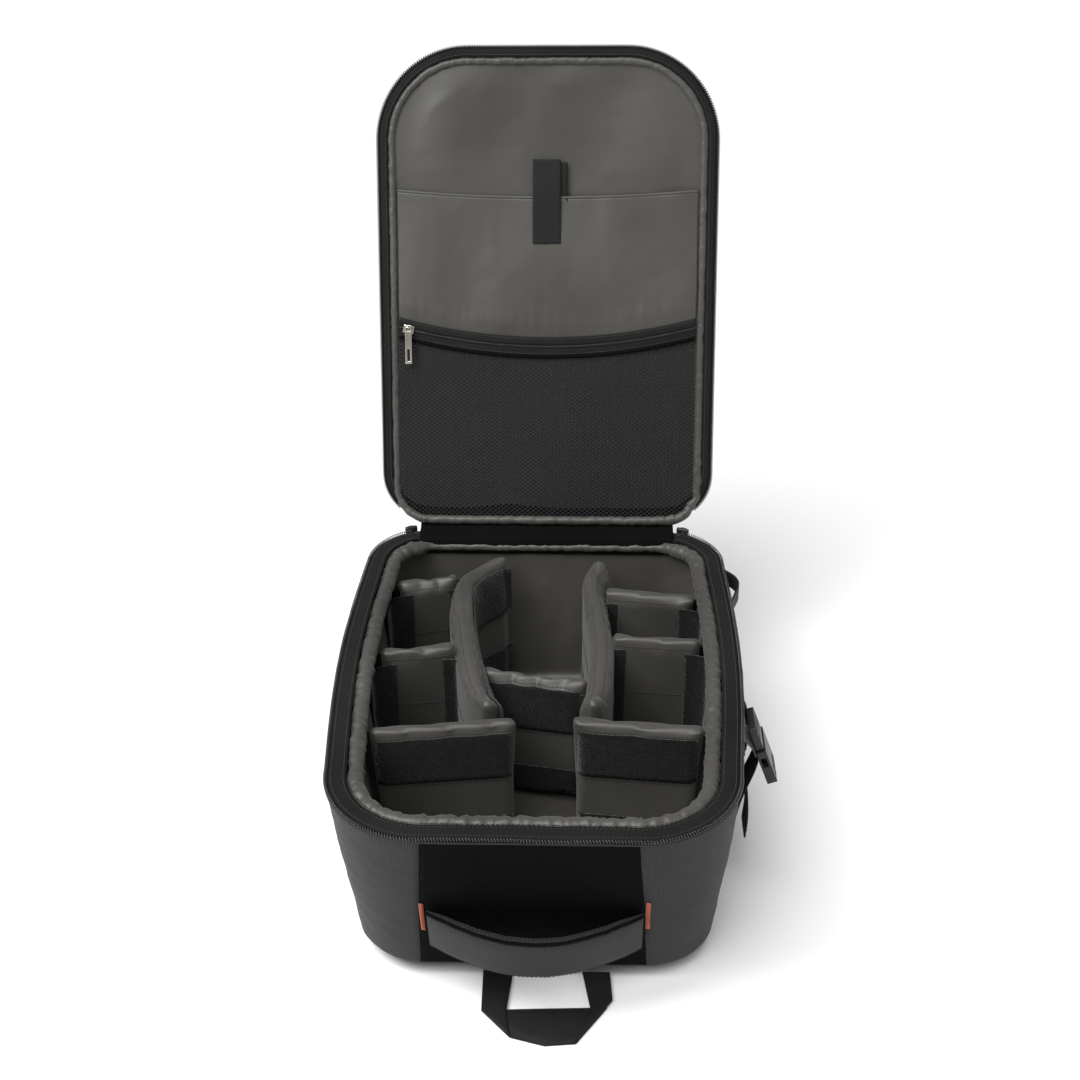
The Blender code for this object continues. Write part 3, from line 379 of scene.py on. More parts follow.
def tubes(name, paths, radius, sides, finish, wrap=False):
    """Round threads along several lines of points, all in one piece."""
    verts, faces, uvs = [], [], []
    for path in paths:
        line = np.asarray([tuple(p) for p in path], float)
        count = len(line)
        run = np.roll(line, -1, 0) - np.roll(line, 1, 0) if wrap else np.gradient(line, axis=0)
        run /= np.maximum(np.linalg.norm(run, axis=1, keepdims=True), 1e-9)
        side = np.cross(run[0], (0.0, 0.0, 1.0) if abs(run[0][2]) < 0.9 else (1.0, 0.0, 0.0))
        base = len(verts)
        length = 0.0
        for k in range(count):
            side = side - run[k] * np.dot(side, run[k])
            side /= max(np.linalg.norm(side), 1e-9)
            other = np.cross(run[k], side)
            if k:
                length += np.linalg.norm(line[k] - line[k - 1])
            for s in range(sides):
                turn = 2 * math.pi * s / sides
                verts.append(line[k] + radius * (math.cos(turn) * side + math.sin(turn) * other))
                uvs.append((length, radius * turn))
        for k in range(count if wrap else count - 1):
            after = (k + 1) % count
            for s in range(sides):
                t = (s + 1) % sides
                faces.append((base + k * sides + s, base + k * sides + t,
                              base + after * sides + t, base + after * sides + s))
        if not wrap:
            faces.append(tuple(base + s for s in range(sides))[::-1])
            faces.append(tuple(base + (count - 1) * sides + s for s in range(sides)))
    return add(name, verts, faces, finish, uvs)


def resample(path, pitch, wrap=False):
    """Points at an even pitch along a line."""
    line = np.array([tuple(p) for p in path], float)
    if wrap:
        line = np.vstack([line, line[:1]])
    along = np.concatenate([[0], np.cumsum(np.linalg.norm(np.diff(line, axis=0), axis=1))])
    count = max(2, int(round(along[-1] / pitch)))
    places = np.linspace(0, along[-1], count + 1)
    if wrap:
        places = places[:-1]
    return np.stack([np.interp(places, along, line[:, k]) for k in range(3)], axis=1)


def stitches(path, pitch=0.0032, share=0.68, wrap=False):
    """Short straight stitches along a line, as pairs of end points with a raised middle left out."""
    points = resample(path, pitch, wrap)
    ends = zip(points, np.roll(points, -1, 0)) if wrap else zip(points[:-1], points[1:])
    return [[a, a + (b - a) * share * 0.5, a + (b - a) * share] for a, b in ends]


def sew(name, lines, radius, body):
    """A piece of thread stitches that rides a body."""
    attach(tubes(name, lines, radius, 5, thread_finish), body)


def ripple(point, size, seed=0.0):
    return noise.noise(Vector(point) / size + Vector((seed, seed * 0.7, -seed)))


def case_skin(height):
    """A ring of the outer fabric, tucked round the bottom edge and lightly creased."""
    ring = []
    for x, y, z in case_ring(height, rounded_in(FOOT_RADIUS - height, FOOT_RADIUS)):
        out = Vector((x, y * 0.5, 0)).normalized()
        swell = 0.0010 * math.sin(math.pi * min(1.0, height / HEIGHT))
        crease = 0.0011 * ripple((x, y, z * 0.6), 0.034) + 0.0005 * ripple((x, y, z), 0.011, 3.0)
        fade = min(1.0, (HEIGHT - height) / 0.02)
        ring.append(Vector((x, y, z)) + out * (swell + crease * fade))
    return ring


levels = [0.0, 0.0008, 0.002, 0.0035, 0.005, FOOT_RADIUS]
levels += [FOOT_RADIUS + 0.1495 * (k + 1) / 46 for k in range(46)]
rings = [case_skin(level) for level in levels]
around, far_seam, near_seam = 2 * sum(COUNTS), COUNTS[0], sum(COUNTS[:4])
panels = (
    ("case_side_right", range(far_seam, near_seam + 1), ribbed, "side_panel_right"),
    ("case_near_panel", range(near_seam, around - near_seam + 1), dark_cloth, "near_panel"),
    ("case_side_left", range(around - near_seam, around - far_seam + 1), ribbed, "side_panel_left"),
    ("case_far_panel", [*range(around - far_seam, around), *range(far_seam + 1)], ribbed, "far_panel"),
)
for name, picked, finish, old in panels:
    piece = strip(name, [[ring[k] for ring in rings] for k in picked], finish, 0.0014, -1.0)
    fit(piece, "case", old, look="dark_fabric" if finish is dark_cloth else "ribbed_fabric", stuffing=0.7)

seam_lines, seam_stitches = [], []
for index in (near_seam, around - near_seam, far_seam, around - far_seam):
    seam_lines.append([ring[index] + Vector((0, math.copysign(0.0004, ring[index].y), 0)) for ring in rings])
    for shift in (-3, 3):
        beside = [ring[(index + shift) % around] for ring in rings[6:]]
        out = Vector((0, math.copysign(0.0005, beside[0].y), 0))
        seam_stitches += stitches([p + out for p in beside])
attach(tubes("case_seams", seam_lines, 0.0008, 8, dark_cloth), "case")
sew("case_seam_stitching", seam_stitches, 0.00032, "case")

# Back panel.
# Black woven cloth over the back, sewn to the walls inside a tape along the bottom edge.

outline = case_ring(0.0, 0.0068)
centre = Vector((0, 0, BASE))
steps = [0.0, 0.25, 0.5, 0.7, 0.85, 0.94, 1.0]
rows = [[centre.lerp(Vector(p), step) + Vector((0, 0, 0.0006 * ripple(Vector(p) * step, 0.05)))
         for step in steps] for p in outline]
back = strip("case_back_panel", rows, dark_cloth, wrap=True)
remap(back, lambda spot: (spot.x, spot.y))
fit(back, "case", "back_panel", stuffing=0.7)
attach(tubes("case_bottom_piping", [case_ring(0.0012, 0.0032)], 0.0016, 8, dark_cloth, wrap=True), "case")

# Satin lining of the compartment.
# A loose satin tub sewn in at the rim. It hangs in upright creases and rounds off onto the floor,
# which has thin padding under it.

DENSE = (60, 44, 200, 66, 60)
LINING_FLOOR, LINING_TOP, FLOOR_RADIUS = 0.0118, 0.1480, 0.008
rows = []
straight = LINING_FLOOR + FLOOR_RADIUS
levels = [LINING_FLOOR + FLOOR_RADIUS * (1 - math.cos(math.pi / 2 * k / 5)) for k in range(5)]
levels += [mix(straight, LINING_TOP, k / 34) for k in range(35)]
for level in levels:
    ring = []
    for x, y, z in case_ring(level, 0.0152 + rounded_in(straight - level, FLOOR_RADIUS)):
        out = Vector((x, y * 0.5, 0)).normalized()
        creases = 0.0011 * ripple((x, y, z * 0.25), 0.019, 5.0) + 0.0006 * ripple((x, y, z * 0.4), 0.008, 9.0)
        ring.append(Vector((x, y, z)) - out * (0.0004 + max(-0.0002, creases)))
    rows.append(ring)
wall = strip("lining_wall", zip(*rows), satin, wrap=True)
fit(wall, "case", "case_lining", look="satin_lining")
floor_rows = []
for p in rows[0]:
    row = []
    for share in [k / 22 for k in range(23)]:
        spot = Vector((0, p.y * 0.35, BASE + LINING_FLOOR)).lerp(p, share)
        puff = 0.0006 * ripple(spot, 0.05, 2.0) + 0.0003 * ripple(spot, 0.014, 4.0)
        row.append(spot + Vector((0, 0, max(-0.0002, puff) * min(1.0, (1 - share) * 8))))
    floor_rows.append(row)
floor_pad = strip("lining_floor", floor_rows, satin, wrap=True)
remap(floor_pad, lambda spot: (spot.x, spot.y))
fit(floor_pad, "case", stuffing=0.5)

# Rim roll.
# A satin tube stuffed with foam cord, sewn along the top of the lining. Its cover gathers in small
# puckers across the roll.


def leads_out(points, inner):
    """Unit vectors outwards from a ring, by the same ring further in."""
    out = points - np.array(inner)
    return out / np.linalg.norm(out, axis=1, keepdims=True)


def roll(name, points, outs, ups, radius, pucker, seed, finish, sides, fullness):
    """A stuffed cloth roll whose cover puckers across it."""
    along = np.concatenate([[0], np.cumsum(np.linalg.norm(np.diff(points, axis=0), axis=1))])
    made = []
    for k, point in enumerate(points):
        row = []
        for s in range(sides + 1):
            turn = 2 * math.pi * s / sides
            pleat = ripple((along[k], 0.004 * math.cos(turn), 0.004 * math.sin(turn)), 0.0062, seed)
            pleat += 0.6 * ripple((along[k], 0.002 * math.cos(turn), 0), 0.0027, seed + 4)
            slack = 0.5 * ripple((along[k], 0, 0), 0.031, seed + 8)
            size = radius * fullness[k] * (1 + pucker * pleat + pucker * 0.6 * slack)
            row.append(point + outs[k] * size * math.cos(turn) + ups[k] * size * math.sin(turn))
        made.append(row)
    return strip(name, made, finish, wrap=True)


roll_level, roll_inset = HEIGHT - 0.0059, 0.0203
points = np.array(case_ring(roll_level, roll_inset, DENSE))
outs = leads_out(points, case_ring(roll_level, roll_inset + 0.0010, DENSE))
ups = np.tile((0.0, 0.0, 1.0), (len(points), 1))
far_side = np.clip((points[:, 1] - 0.186) / 0.010, 0.0, 1.0)
far_side = far_side * np.clip((0.122 - abs(points[:, 0])) / 0.02, 0.0, 1.0)
points = points + outs * (0.0085 * far_side)[:, None] + ups * (-0.0052 * far_side)[:, None]
rim = roll("rim_roll_satin", points, outs, ups, 0.0062, 0.26, 1.0, satin, 14, 1.0 - 0.75 * far_side)
fit(rim, "case", "rim_roll", look="satin_lining", stuffing=0.8)
rim_seam = stitches((points + outs * 0.0046 + ups * 0.0048)[far_side < 0.02], 0.0036)
sew("rim_roll_stitching", rim_seam, 0.00028, "case")

# Main zip, case half.
# Herringbone tape sewn flat on the rim, with a coil of nylon wire along its outer edge and a
# thin piped fold of the outer fabric under it.

ZIP_END = 11


def open_ring(height, inset):
    """The rim from one end of the zip round the near end to the other."""
    ring, cut = case_ring(height, inset, DENSE), DENSE[0] + ZIP_END
    return ring[cut:len(ring) - cut + 1]


def zip_line(inset, lift):
    """A line along the rim that waves up and down a little, as sewn tape does."""
    return [Vector((x, y, z + 0.0008 * ripple((x, y, z), 0.03, 6.0) + lift))
            for x, y, z in open_ring(HEIGHT, inset)]


lines = [zip_line(inset, -0.0006) for inset in (0.0009, 0.0035, 0.0060, 0.0090, 0.0120, 0.0146)]
piece = strip("case_zip_tape_cloth", zip(*lines), tape, 0.0010, 0.0)
fit(piece, "case", "case_zip_tape", look="zip_tape")
for inset in (0.0032, 0.0122):
    sew(f"case_tape_stitching_{int(inset * 10000)}", stitches(zip_line(inset, 0.0002)), 0.00026, "case")


def helix(path, radius, pitch, per_turn=9):
    """The line of a zip coil wound round a path, with its heads towards the outside."""
    line = resample(path, pitch / per_turn)
    run = np.gradient(line, axis=0)
    run /= np.maximum(np.linalg.norm(run, axis=1, keepdims=True), 1e-9)
    made = []
    side = np.cross(run[0], (0.31, 0.17, 0.93))
    for k in range(len(line)):
        side = side - run[k] * np.dot(side, run[k])
        side /= np.linalg.norm(side)
        other = np.cross(run[k], side)
        turn = 2 * math.pi * k / per_turn
        made.append(line[k] + radius * (math.cos(turn) * side + math.sin(turn) * other))
    return made


coil = helix(zip_line(-0.0007, -0.0002), 0.0013, 0.0022)
fit(tubes("case_zip_coil_wire", [coil], 0.00042, 5, coil_finish), "case", "case_zip_coil", look="zip_coil")
fold = []
for x, y, z in open_ring(HEIGHT - 0.0030, -0.0012):
    sway = 0.0013 * ripple((x, y, 0), 0.028, 7.0) if x > 0 and -0.09 < y < 0.0 else 0.0
    fold.append(Vector((x - sway, y, z + 0.0005 * ripple((x, y, 0), 0.04, 8.0))))
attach(tubes("case_rim_piping", [fold], 0.0011, 8, ribbed), "case")

# Main zip sliders.
# Black painted zinc sliders parked where the zip ends beside the hinge, each with a long pull
# that hangs outside on its bridge.


def cuboid(name, middle, size):
    shape = bmesh.new()
    bmesh.ops.create_cube(shape, size=1.0)
    for vert in shape.verts:
        vert.co = Vector([middle[k] + size[k] * vert.co[k] for k in range(3)])
    mesh = bpy.data.meshes.new(name)
    shape.to_mesh(mesh)
    shape.free()
    obj = bpy.data.objects.new(name, mesh)
    scene.collection.objects.link(obj)
    return obj


def block(name, finish, centre, axes, size, bevel, cuts=()):
    """A rounded block along its own three axes, with slots through its third axis."""
    obj = cuboid(name, (0, 0, 0), size)
    obj.data.uv_layers.new(name="weave")
    obj.data.materials.append(finish)
    for number, (spot, wide) in enumerate(cuts):
        tool = cuboid(f"{name}_slot_{number}", spot, wide)
        away = obj.modifiers.new("slot", "BOOLEAN")
        away.operation, away.object, away.solver = "DIFFERENCE", tool, "EXACT"
        bpy.context.view_layer.update()
        cut_mesh = bpy.data.meshes.new_from_object(obj.evaluated_get(bpy.context.evaluated_depsgraph_get()))
        obj.modifiers.clear()
        obj.data = cut_mesh
        bpy.data.objects.remove(tool)
    round_edge = obj.modifiers.new("round", "BEVEL")
    round_edge.width, round_edge.segments, round_edge.limit_method = bevel, 3, "ANGLE"
    x_axis, y_axis, z_axis = (Vector(a).normalized() for a in axes)
    turned = Matrix((x_axis, y_axis, z_axis)).transposed().to_4x4()
    obj.matrix_world = Matrix.Translation(centre) @ turned
    return smooth(obj)


for word, side in (("left", -1), ("right", 1)):
    turn = math.pi / 8
    hub = Vector((side * 0.103, 0.1585, 0))
    out = Vector((side * math.sin(turn), math.cos(turn), 0))
    along = Vector((side * math.cos(turn), -math.sin(turn), 0))
    down = Vector((0, 0, -1))
    body = block(f"main_slider_{word}", black_metal, hub + out * 0.0585 + Vector((0, 0, 0.1695)),
                 (along, out, down), (0.0115, 0.0034, 0.0062), 0.0009)
    fit(body, f"zip_slider_{word}", f"zip_slider_{word}", look="black_metal")
    arch = [hub + out * (0.0598 + 0.0019 * math.sin(math.pi * k / 8)) + along * (k - 4) * 0.0011
            + Vector((0, 0, 0.1712)) for k in range(9)]
    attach(tubes(f"main_slider_bridge_{word}", [arch], 0.0008, 8, black_metal), f"zip_slider_{word}")
    pull = block(f"main_pull_{word}", black_metal, hub + out * 0.0608 + Vector((0, 0, 0.1553)),
                 (along, down, out), (0.0068, 0.0300, 0.0017), 0.0006,
                 cuts=(((0, -0.0122, 0), (0.0034, 0.0028, 0.01)), ((0, 0.0085, 0), (0.0026, 0.0080, 0.01))))
    fit(pull, f"zip_pull_{word}", f"zip_pull_{word}", look="black_metal")

# Lid shell.
# Ribbed nylon over a foam sheet. The panel turns over the edge and rises to a shallow crown at the
# back, with a seam round the crown.

LEAN = math.radians(18.8)
FOOT_Y, FOOT_Z = 0.213, 0.172
LID_COUNTS = (30, 24, 90, 44, 40)


def lid_point(x, v, w):
    """A point of the lid: across, along from the hinge, and out towards its back."""
    return Vector((x, FOOT_Y + v * math.sin(LEAN) + w * math.cos(LEAN),
                   FOOT_Z + v * math.cos(LEAN) - w * math.sin(LEAN)))


def lid_plan(inset, counts=LID_COUNTS, start=0.008):
    """The lid's outline in its own plane. The inner pieces start lower, where they fold at the hinge."""
    half = plan(-0.426, -start, (0.299, 0.299), (0.080, 0.042), 0.0, inset, counts)
    return [(x, -y) for x, y in whole(half)]


def on_lid(piece, *old, **more):
    fit(piece, "lid", *old, **more)


profile = [(0.0004, 0.0042), (0.0, 0.0065), (0.0, 0.0095), (0.0006, 0.0120), (0.0024, 0.0148),
           (0.0052, 0.0172), (0.0090, 0.0192), (0.0150, 0.0207), (0.0220, 0.0217), (0.0300, 0.0222)]
profile += [(0.0300 + 0.1140 * k / 16, 0.0222 + 0.0006 * math.sin(math.pi * k / 32)) for k in range(1, 17)]
columns = []


def crease(x, v):
    return 0.0007 * ripple((x, v, 0), 0.045, 11.0) + 0.0004 * ripple((x, v, 0), 0.016, 12.0)


def weld(piece):
    """Join the points of a cloth grid that fall on the same place."""
    shape = bmesh.new()
    shape.from_mesh(piece.data)
    bmesh.ops.remove_doubles(shape, verts=shape.verts, dist=0.00002)
    bmesh.ops.dissolve_degenerate(shape, edges=shape.edges, dist=0.00001)
    shape.to_mesh(piece.data)
    shape.free()
    smooth(piece)


for inset, w in profile:
    if inset < 0.038:
        ring = lid_plan(inset)
    else:
        edge, share = lid_plan(0.0375), (inset - 0.0375) / (0.1440 - 0.0375)
        ring = [(mix(x, 0, share), mix(v, mix(v, 0.217, 0.55), share)) for x, v in edge]
    columns.append([lid_point(x, v, w + crease(x, v) * min(1.0, inset / 0.01)) for x, v in ring])
shell = strip("lid_shell_cloth", zip(*columns), ribbed, 0.0013, -1.0, wrap=True)
remap(shell, lambda spot: (spot.x, (spot.z - FOOT_Z) * math.cos(LEAN) + (spot.y - FOOT_Y) * math.sin(LEAN)))
weld(shell)
on_lid(shell, "lid_shell", look="ribbed_fabric", stuffing=0.7)
crown = [lid_point(x, v, 0.0234 + crease(x, v)) for x, v in lid_plan(0.0262)]
on_lid(tubes("lid_crown_seam", [crown], 0.0009, 6, dark_cloth, wrap=True))
beside = [lid_point(x, v, 0.0237 + crease(x, v)) for x, v in lid_plan(0.0296)]
sew("lid_crown_stitching", stitches(beside, wrap=True), 0.0003, "lid")

# Lid edge: zip tape, coil and satin roll.
# The other half of the zip runs round the lid in a dark groove, and a thin stuffed satin roll
# covers the seam of the lining inside it.

INNER_START = -0.0048
groove = [[lid_point(x, v, w) for x, v in lid_plan(inset)]
          for inset, w in ((0.0006, 0.0046), (0.004, 0.0050), (0.009, 0.0056), (0.0135, 0.0066))]
on_lid(strip("lid_groove_cloth", zip(*groove), dark_cloth, wrap=True))


def lid_run(inset, w):
    """The lid's edge from one end of the zip to the other."""
    ring, cut = lid_plan(inset), LID_COUNTS[0] + ZIP_END
    return [lid_point(x, v, w + 0.0004 * ripple((x, v, 0), 0.03, 6.0))
            for x, v in ring[cut:len(ring) - cut + 1]]


lines = [lid_run(inset, 0.0038) for inset in (0.0004, 0.0030, 0.0056, 0.0084)]
on_lid(strip("lid_zip_tape_cloth", zip(*lines), tape, 0.0008, 0.0), "lid_zip_tape", look="zip_tape")
sew("lid_tape_stitching", stitches(lid_run(0.0062, 0.0031)), 0.00026, "lid")
teeth = helix(lid_run(-0.0007, 0.0034), 0.0014, 0.0022)
on_lid(tubes("lid_zip_coil_wire", [teeth], 0.00042, 5, coil_finish), "lid_zip_coil", look="zip_coil")
dense = (70, 60, 230, 120, 90)
inner, points = (np.array([lid_point(x, v, 0.0046) for x, v in lid_plan(inset, dense, INNER_START)])
                 for inset in (0.0125, 0.0115))
outs = leads_out(points, inner)
ups = np.tile(tuple(lid_point(0, 0, -1) - lid_point(0, 0, 0)), (len(points), 1))
at_hinge = np.clip((0.196 - points[:, 2]) / 0.018, 0.0, 1.0)
crumple = np.clip((points[:, 0] - 0.085) / 0.03, 0.0, 1.0) * np.clip((0.250 - points[:, 2]) / 0.05, 0.0, 1.0)
fullness = 1.0 + 0.22 * at_hinge + 0.20 * crumple
points = points + ups * (0.0017 * at_hinge)[:, None]
points = points + outs * (0.0009 * crumple * np.sin(points[:, 2] * 420.0))[:, None]
on_lid(roll("lid_satin_roll", points, outs, ups, 0.0031, 0.22, 21.0, satin, 12, fullness), "lid_binding",
       look="satin_lining", stuffing=0.8)

# Lid lining.
# A satin panel stretched inside the roll, slack enough to lie in soft waves.

edge = lid_plan(0.0122, start=INNER_START)
rows = []
for x, v in edge:
    row = []
    for k in range(60):
        share = k / 59
        px, pv = mix(x, 0, share), mix(v, mix(v, 0.22, 0.6), share)
        slack = mix(0.0015, 0.0052, min(1.0, max(0.0, (pv - 0.292) / 0.03)))
        slack *= min(1.0, max(0.25, (math.hypot(px, pv - 0.312) - 0.020) / 0.035))
        wave = slack * ripple((px, pv * 0.6, 0), 0.062, 31.0)
        wave += 0.0002 * ripple((px, pv * 1.2, 0), 0.014, 33.0)
        depth = 0.0064 - 0.3 * slack + wave * min(1.0, share * 6)
        row.append(lid_point(px, pv, min(0.0071, depth)))
    rows.append(row)
lining = strip("lid_lining_satin", rows, satin, wrap=True)
remap(lining, lambda spot: (spot.x, spot.z))
weld(lining)
on_lid(lining, "lid_lining", look="satin_lining")

# Lid pockets.
# A slip pocket of satin with a hemmed top that sags a little, over a net pocket whose zip sags too.
# The net is knitted cord with staggered holes.

POCKET_HALF = 0.1336
ZIP_HALF, ZIP_DROP = 0.1341, 0.0175


def sag_radius(drop):
    return (ZIP_HALF ** 2 + drop ** 2) / (2 * drop)


def sag(x, middle, drop):
    return middle + sag_radius(drop) - math.sqrt(sag_radius(drop) ** 2 - x * x)


def zip_v(x):
    return sag(x, 0.1665, ZIP_DROP)


def top_v(x):
    return sag(x, 0.298, 0.006)


def bottom_v(x):
    return INNER_START + 0.0148 + rounded_in(abs(x) - 0.1075, 0.0272)


def slip_w(x, share):
    fill = math.cos(math.pi / 2 * min(1.0, abs(x) / POCKET_HALF)) ** 0.5
    slack = 0.0046 * min(1.0, max(0.3, (abs(x) - 0.012) / 0.03))
    wave = slack * ripple((x, share * 0.06, 0), 0.050, 41.0)
    wave += 0.0003 * ripple((x, share * 0.12, 0), 0.014, 43.0)
    gather = 0.0013 * ripple((x, share * 0.02, 0), 0.0075, 45.0) * max(0.0, 1 - share * 3.5)
    loose = 0.0046 - fill * (0.0016 + 0.0010 * math.sin(math.pi * share)) + wave + gather
    return mix(0.0052, min(0.0056, loose), min(1.0, share * 9))


rows = []
for x in np.linspace(-POCKET_HALF, POCKET_HALF, 190):
    rows.append([lid_point(x, mix(zip_v(x) + 0.0060, top_v(x), k / 44), slip_w(x, k / 44))
                 for k in range(45)])
slip = strip("slip_pocket_satin", rows, satin, 0.0006, 1.0)
on_lid(slip, "slip_pocket", look="satin_lining")
hem = [lid_point(x, top_v(x), slip_w(x, 1.0) - 0.0003) for x in np.linspace(-POCKET_HALF, POCKET_HALF, 120)]
on_lid(tubes("slip_pocket_hem", [hem], 0.0012, 8, satin))
sewn = stitches([lid_point(x, top_v(x) - 0.008, slip_w(x, 0.94) - 0.0002)
                 for x in np.linspace(-POCKET_HALF, POCKET_HALF, 90)])
sew("slip_pocket_stitching", sewn, 0.00026, "lid")

verts, faces, uvs = [], [], []
wide, tall = 0.0025, 0.00185
bars = ((1, 0), (0.5, 0.5), (0, 1), (-0.5, 0.5), (-1, 0), (-0.5, -0.5), (0, -1), (0.5, -0.5))


def net_spot(x, v):
    x = max(-POCKET_HALF, min(POCKET_HALF, x))
    v = max(bottom_v(x), min(zip_v(x) - 0.002, v))
    share = (v - bottom_v(x)) / (zip_v(x) - bottom_v(x))
    fill = math.cos(math.pi / 2 * abs(x) / (POCKET_HALF + 0.002)) ** 0.5 * math.sin(math.pi * share) ** 0.6
    return x, v, 0.0046 - 0.0022 * fill + 0.0006 * ripple((x, v, 0), 0.03, 51.0)


for j in range(int(0.200 / tall)):
    for i in range(-28, 29):
        x, v = i * 2 * wide + (j % 2) * wide, 0.004 + j * tall
        if abs(x) > POCKET_HALF + wide or v < bottom_v(min(abs(x), POCKET_HALF)) - tall:
            continue
        if v > zip_v(min(abs(x), POCKET_HALF)) + tall:
            continue
        base = len(verts)
        for a, b in bars:
            for scale in (1.0, 0.56):
                far = scale if scale == 1.0 else scale * (1.0 if 0 in (a, b) else 1.22)
                spot = net_spot(x + a * wide * far, v + b * tall * far)
                verts.append(lid_point(spot[0], spot[1], spot[2] - (0.0004 if scale == 1.0 else 0.0)))
                uvs.append((spot[0], spot[1]))
        for k in range(8):
            m = (k + 1) % 8
            faces.append((base + 2 * k, base + 2 * m, base + 2 * m + 1, base + 2 * k + 1))
mesh_pocket = add("mesh_pocket_net", verts, faces, net, uvs)
on_lid(mesh_pocket, "mesh_pocket", look="air_mesh")

# Net pocket zip.
# Two narrow tapes sewn to the satin above and to a bound edge of the net below, a fine coil
# between them, and a plated slider with a slotted pull.

xs = np.linspace(-POCKET_HALF, POCKET_HALF, 150)
for word, sign in (("upper", 1), ("lower", -1)):
    offsets = [sign * off for off in (0.0003, 0.0032, 0.0062, 0.0082)]
    rows = [[lid_point(x, zip_v(x) + off, 0.0030 + 0.0003 * ripple((x, off, 0), 0.02, 55.0) + abs(off) * 0.05)
             for off in offsets] for x in xs]
    tape_piece = strip(f"mesh_zip_tape_{word}", rows, tape, 0.0008, 0.0)
    if word == "upper":
        on_lid(tape_piece, "mesh_zip_tape", look="zip_tape")
    else:
        on_lid(tape_piece)
    sewn = stitches([lid_point(x, zip_v(x) + sign * 0.0066, 0.0028) for x in xs], 0.0030)
    sew(f"mesh_zip_stitching_{word}", sewn, 0.00026, "lid")
small = helix([lid_point(x, zip_v(x), 0.0024) for x in xs], 0.0011, 0.0017)
on_lid(tubes("mesh_zip_coil", [small], 0.00034, 5, coil_finish))
hem = [lid_point(x, zip_v(x) - 0.0092, 0.0032) for x in xs]
on_lid(tubes("mesh_pocket_bound_edge", [hem], 0.0016, 8, dark_cloth))

inner_up = lid_point(0, 0, -1) - lid_point(0, 0, 0)
lid_up = lid_point(0, 1, 0) - lid_point(0, 0, 0)
slider_x = -ZIP_HALF + 0.009
tilt = math.asin(slider_x / sag_radius(ZIP_DROP))
run = (Vector((1, 0, 0)) * math.cos(tilt) + lid_up * math.sin(tilt)).normalized()
rise = inner_up.cross(run)
body = block("mesh_slider_body", silver, lid_point(slider_x, zip_v(slider_x), 0.0008), (run, rise, inner_up),
             (0.0098, 0.0074, 0.0020), 0.0007)
fit(body, "mesh_zip_slider", "mesh_zip_slider", look="silver_metal")
arch = [lid_point(slider_x, zip_v(slider_x), -0.0004) + run * (k - 4) * 0.0009
        + inner_up * 0.0021 * math.sin(math.pi * k / 8) + lid_up * 0.0018 for k in range(9)]
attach(tubes("mesh_slider_bridge", [arch], 0.0007, 8, silver), "mesh_zip_slider")
pull = block("mesh_pull_tab", silver, lid_point(slider_x, zip_v(slider_x) - 0.0135, -0.0014),
             (Vector((1, 0, 0)), lid_up, inner_up), (0.0062, 0.0350, 0.0016), 0.0006,
             cuts=(((0, 0.0140, 0), (0.0032, 0.0034, 0.01)), ((0, -0.0095, 0), (0.0024, 0.0110, 0.01))))
fit(pull, "mesh_zip_pull", "mesh_zip_pull", look="silver_metal")

# Pocket strap.
# A short hook-and-loop tab of webbing, sewn to the lining over a wider anchor patch, and pressed
# down on the slip pocket.

rows = [[lid_point(x, v, 0.0029 + 0.0002 * ripple((x, v, 0), 0.02, 61.0))
         for v in np.linspace(0.294, 0.3285, 24)] for x in np.linspace(-0.0085, 0.0180, 12)]
on_lid(strip("pocket_strap_patch", rows, web, 0.0008, 1.0))


def strap_w(v):
    return 0.0022 - 0.0010 * math.sin(math.pi * min(1.0, max(0.0, (0.331 - v) / 0.073))) ** 2


rows = [[lid_point(x, v, strap_w(v) + 0.0002 * ripple((x, v, 0), 0.012, 63.0))
         for x in np.linspace(-0.0130, 0.0120, 14)] for v in np.linspace(0.2580, 0.3310, 44)]
fit(strip("pocket_strap_web", rows, web, 0.0014, -1.0), "pocket_strap", "pocket_strap", look="webbing")
lines = []
for v in (0.2610, 0.2875, 0.2900, 0.3270):
    lines += stitches([lid_point(x, v, strap_w(v) - 0.0007) for x in np.linspace(-0.0115, 0.0105, 8)], 0.0028)
sew("pocket_strap_stitching", lines, 0.0003, "pocket_strap")

# Fabric hinge.
# Ribbed cloth outside and black cloth inside cross from the far wall to the lid, so the hinge is
# the fold of the cloth.

for name, finish, path, old in (
    ("hinge_cloth_outer", ribbed,
     [(0.2112, 0.150), (0.2124, 0.160), (0.2132, 0.1660), (0.2156, 0.1682), (0.2187, 0.1702)]
     + [tuple(lid_point(0, v, w))[1:] for v, w in ((0.004, 0.0082), (0.007, 0.0090), (0.011, 0.0096))],
     ("hinge_fabric_case", "hinge_fabric_lid")),
    ("hinge_cloth_inner", dark_cloth,
     [(0.1942, 0.1560), (0.1950, 0.1640), (0.1975, 0.1688), (0.2040, 0.1706), (0.2124, 0.1710)]
     + [tuple(lid_point(0, v, w))[1:] for v, w in ((0.0005, 0.0022), (0.0025, 0.0040), (0.0055, 0.0056))],
     ()),
):
    rows = []
    for x in np.linspace(-0.1165, 0.1165, 90):
        flat = [Vector((x, y, z + 0.0004 * ripple((x, y, z), 0.016, 71.0))) for y, z in path]
        rows.append([Vector(p) for p in resample(flat, 0.0022)])
    shortest = min(len(row) for row in rows)
    cloth = strip(name, [row[:shortest - 1] + [row[-1]] for row in rows], finish, 0.0008, 0.0)
    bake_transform(cloth)
    if old:
        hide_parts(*old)

# Foam.
# The padding inside the walls keeps the shape that the frame gives it.

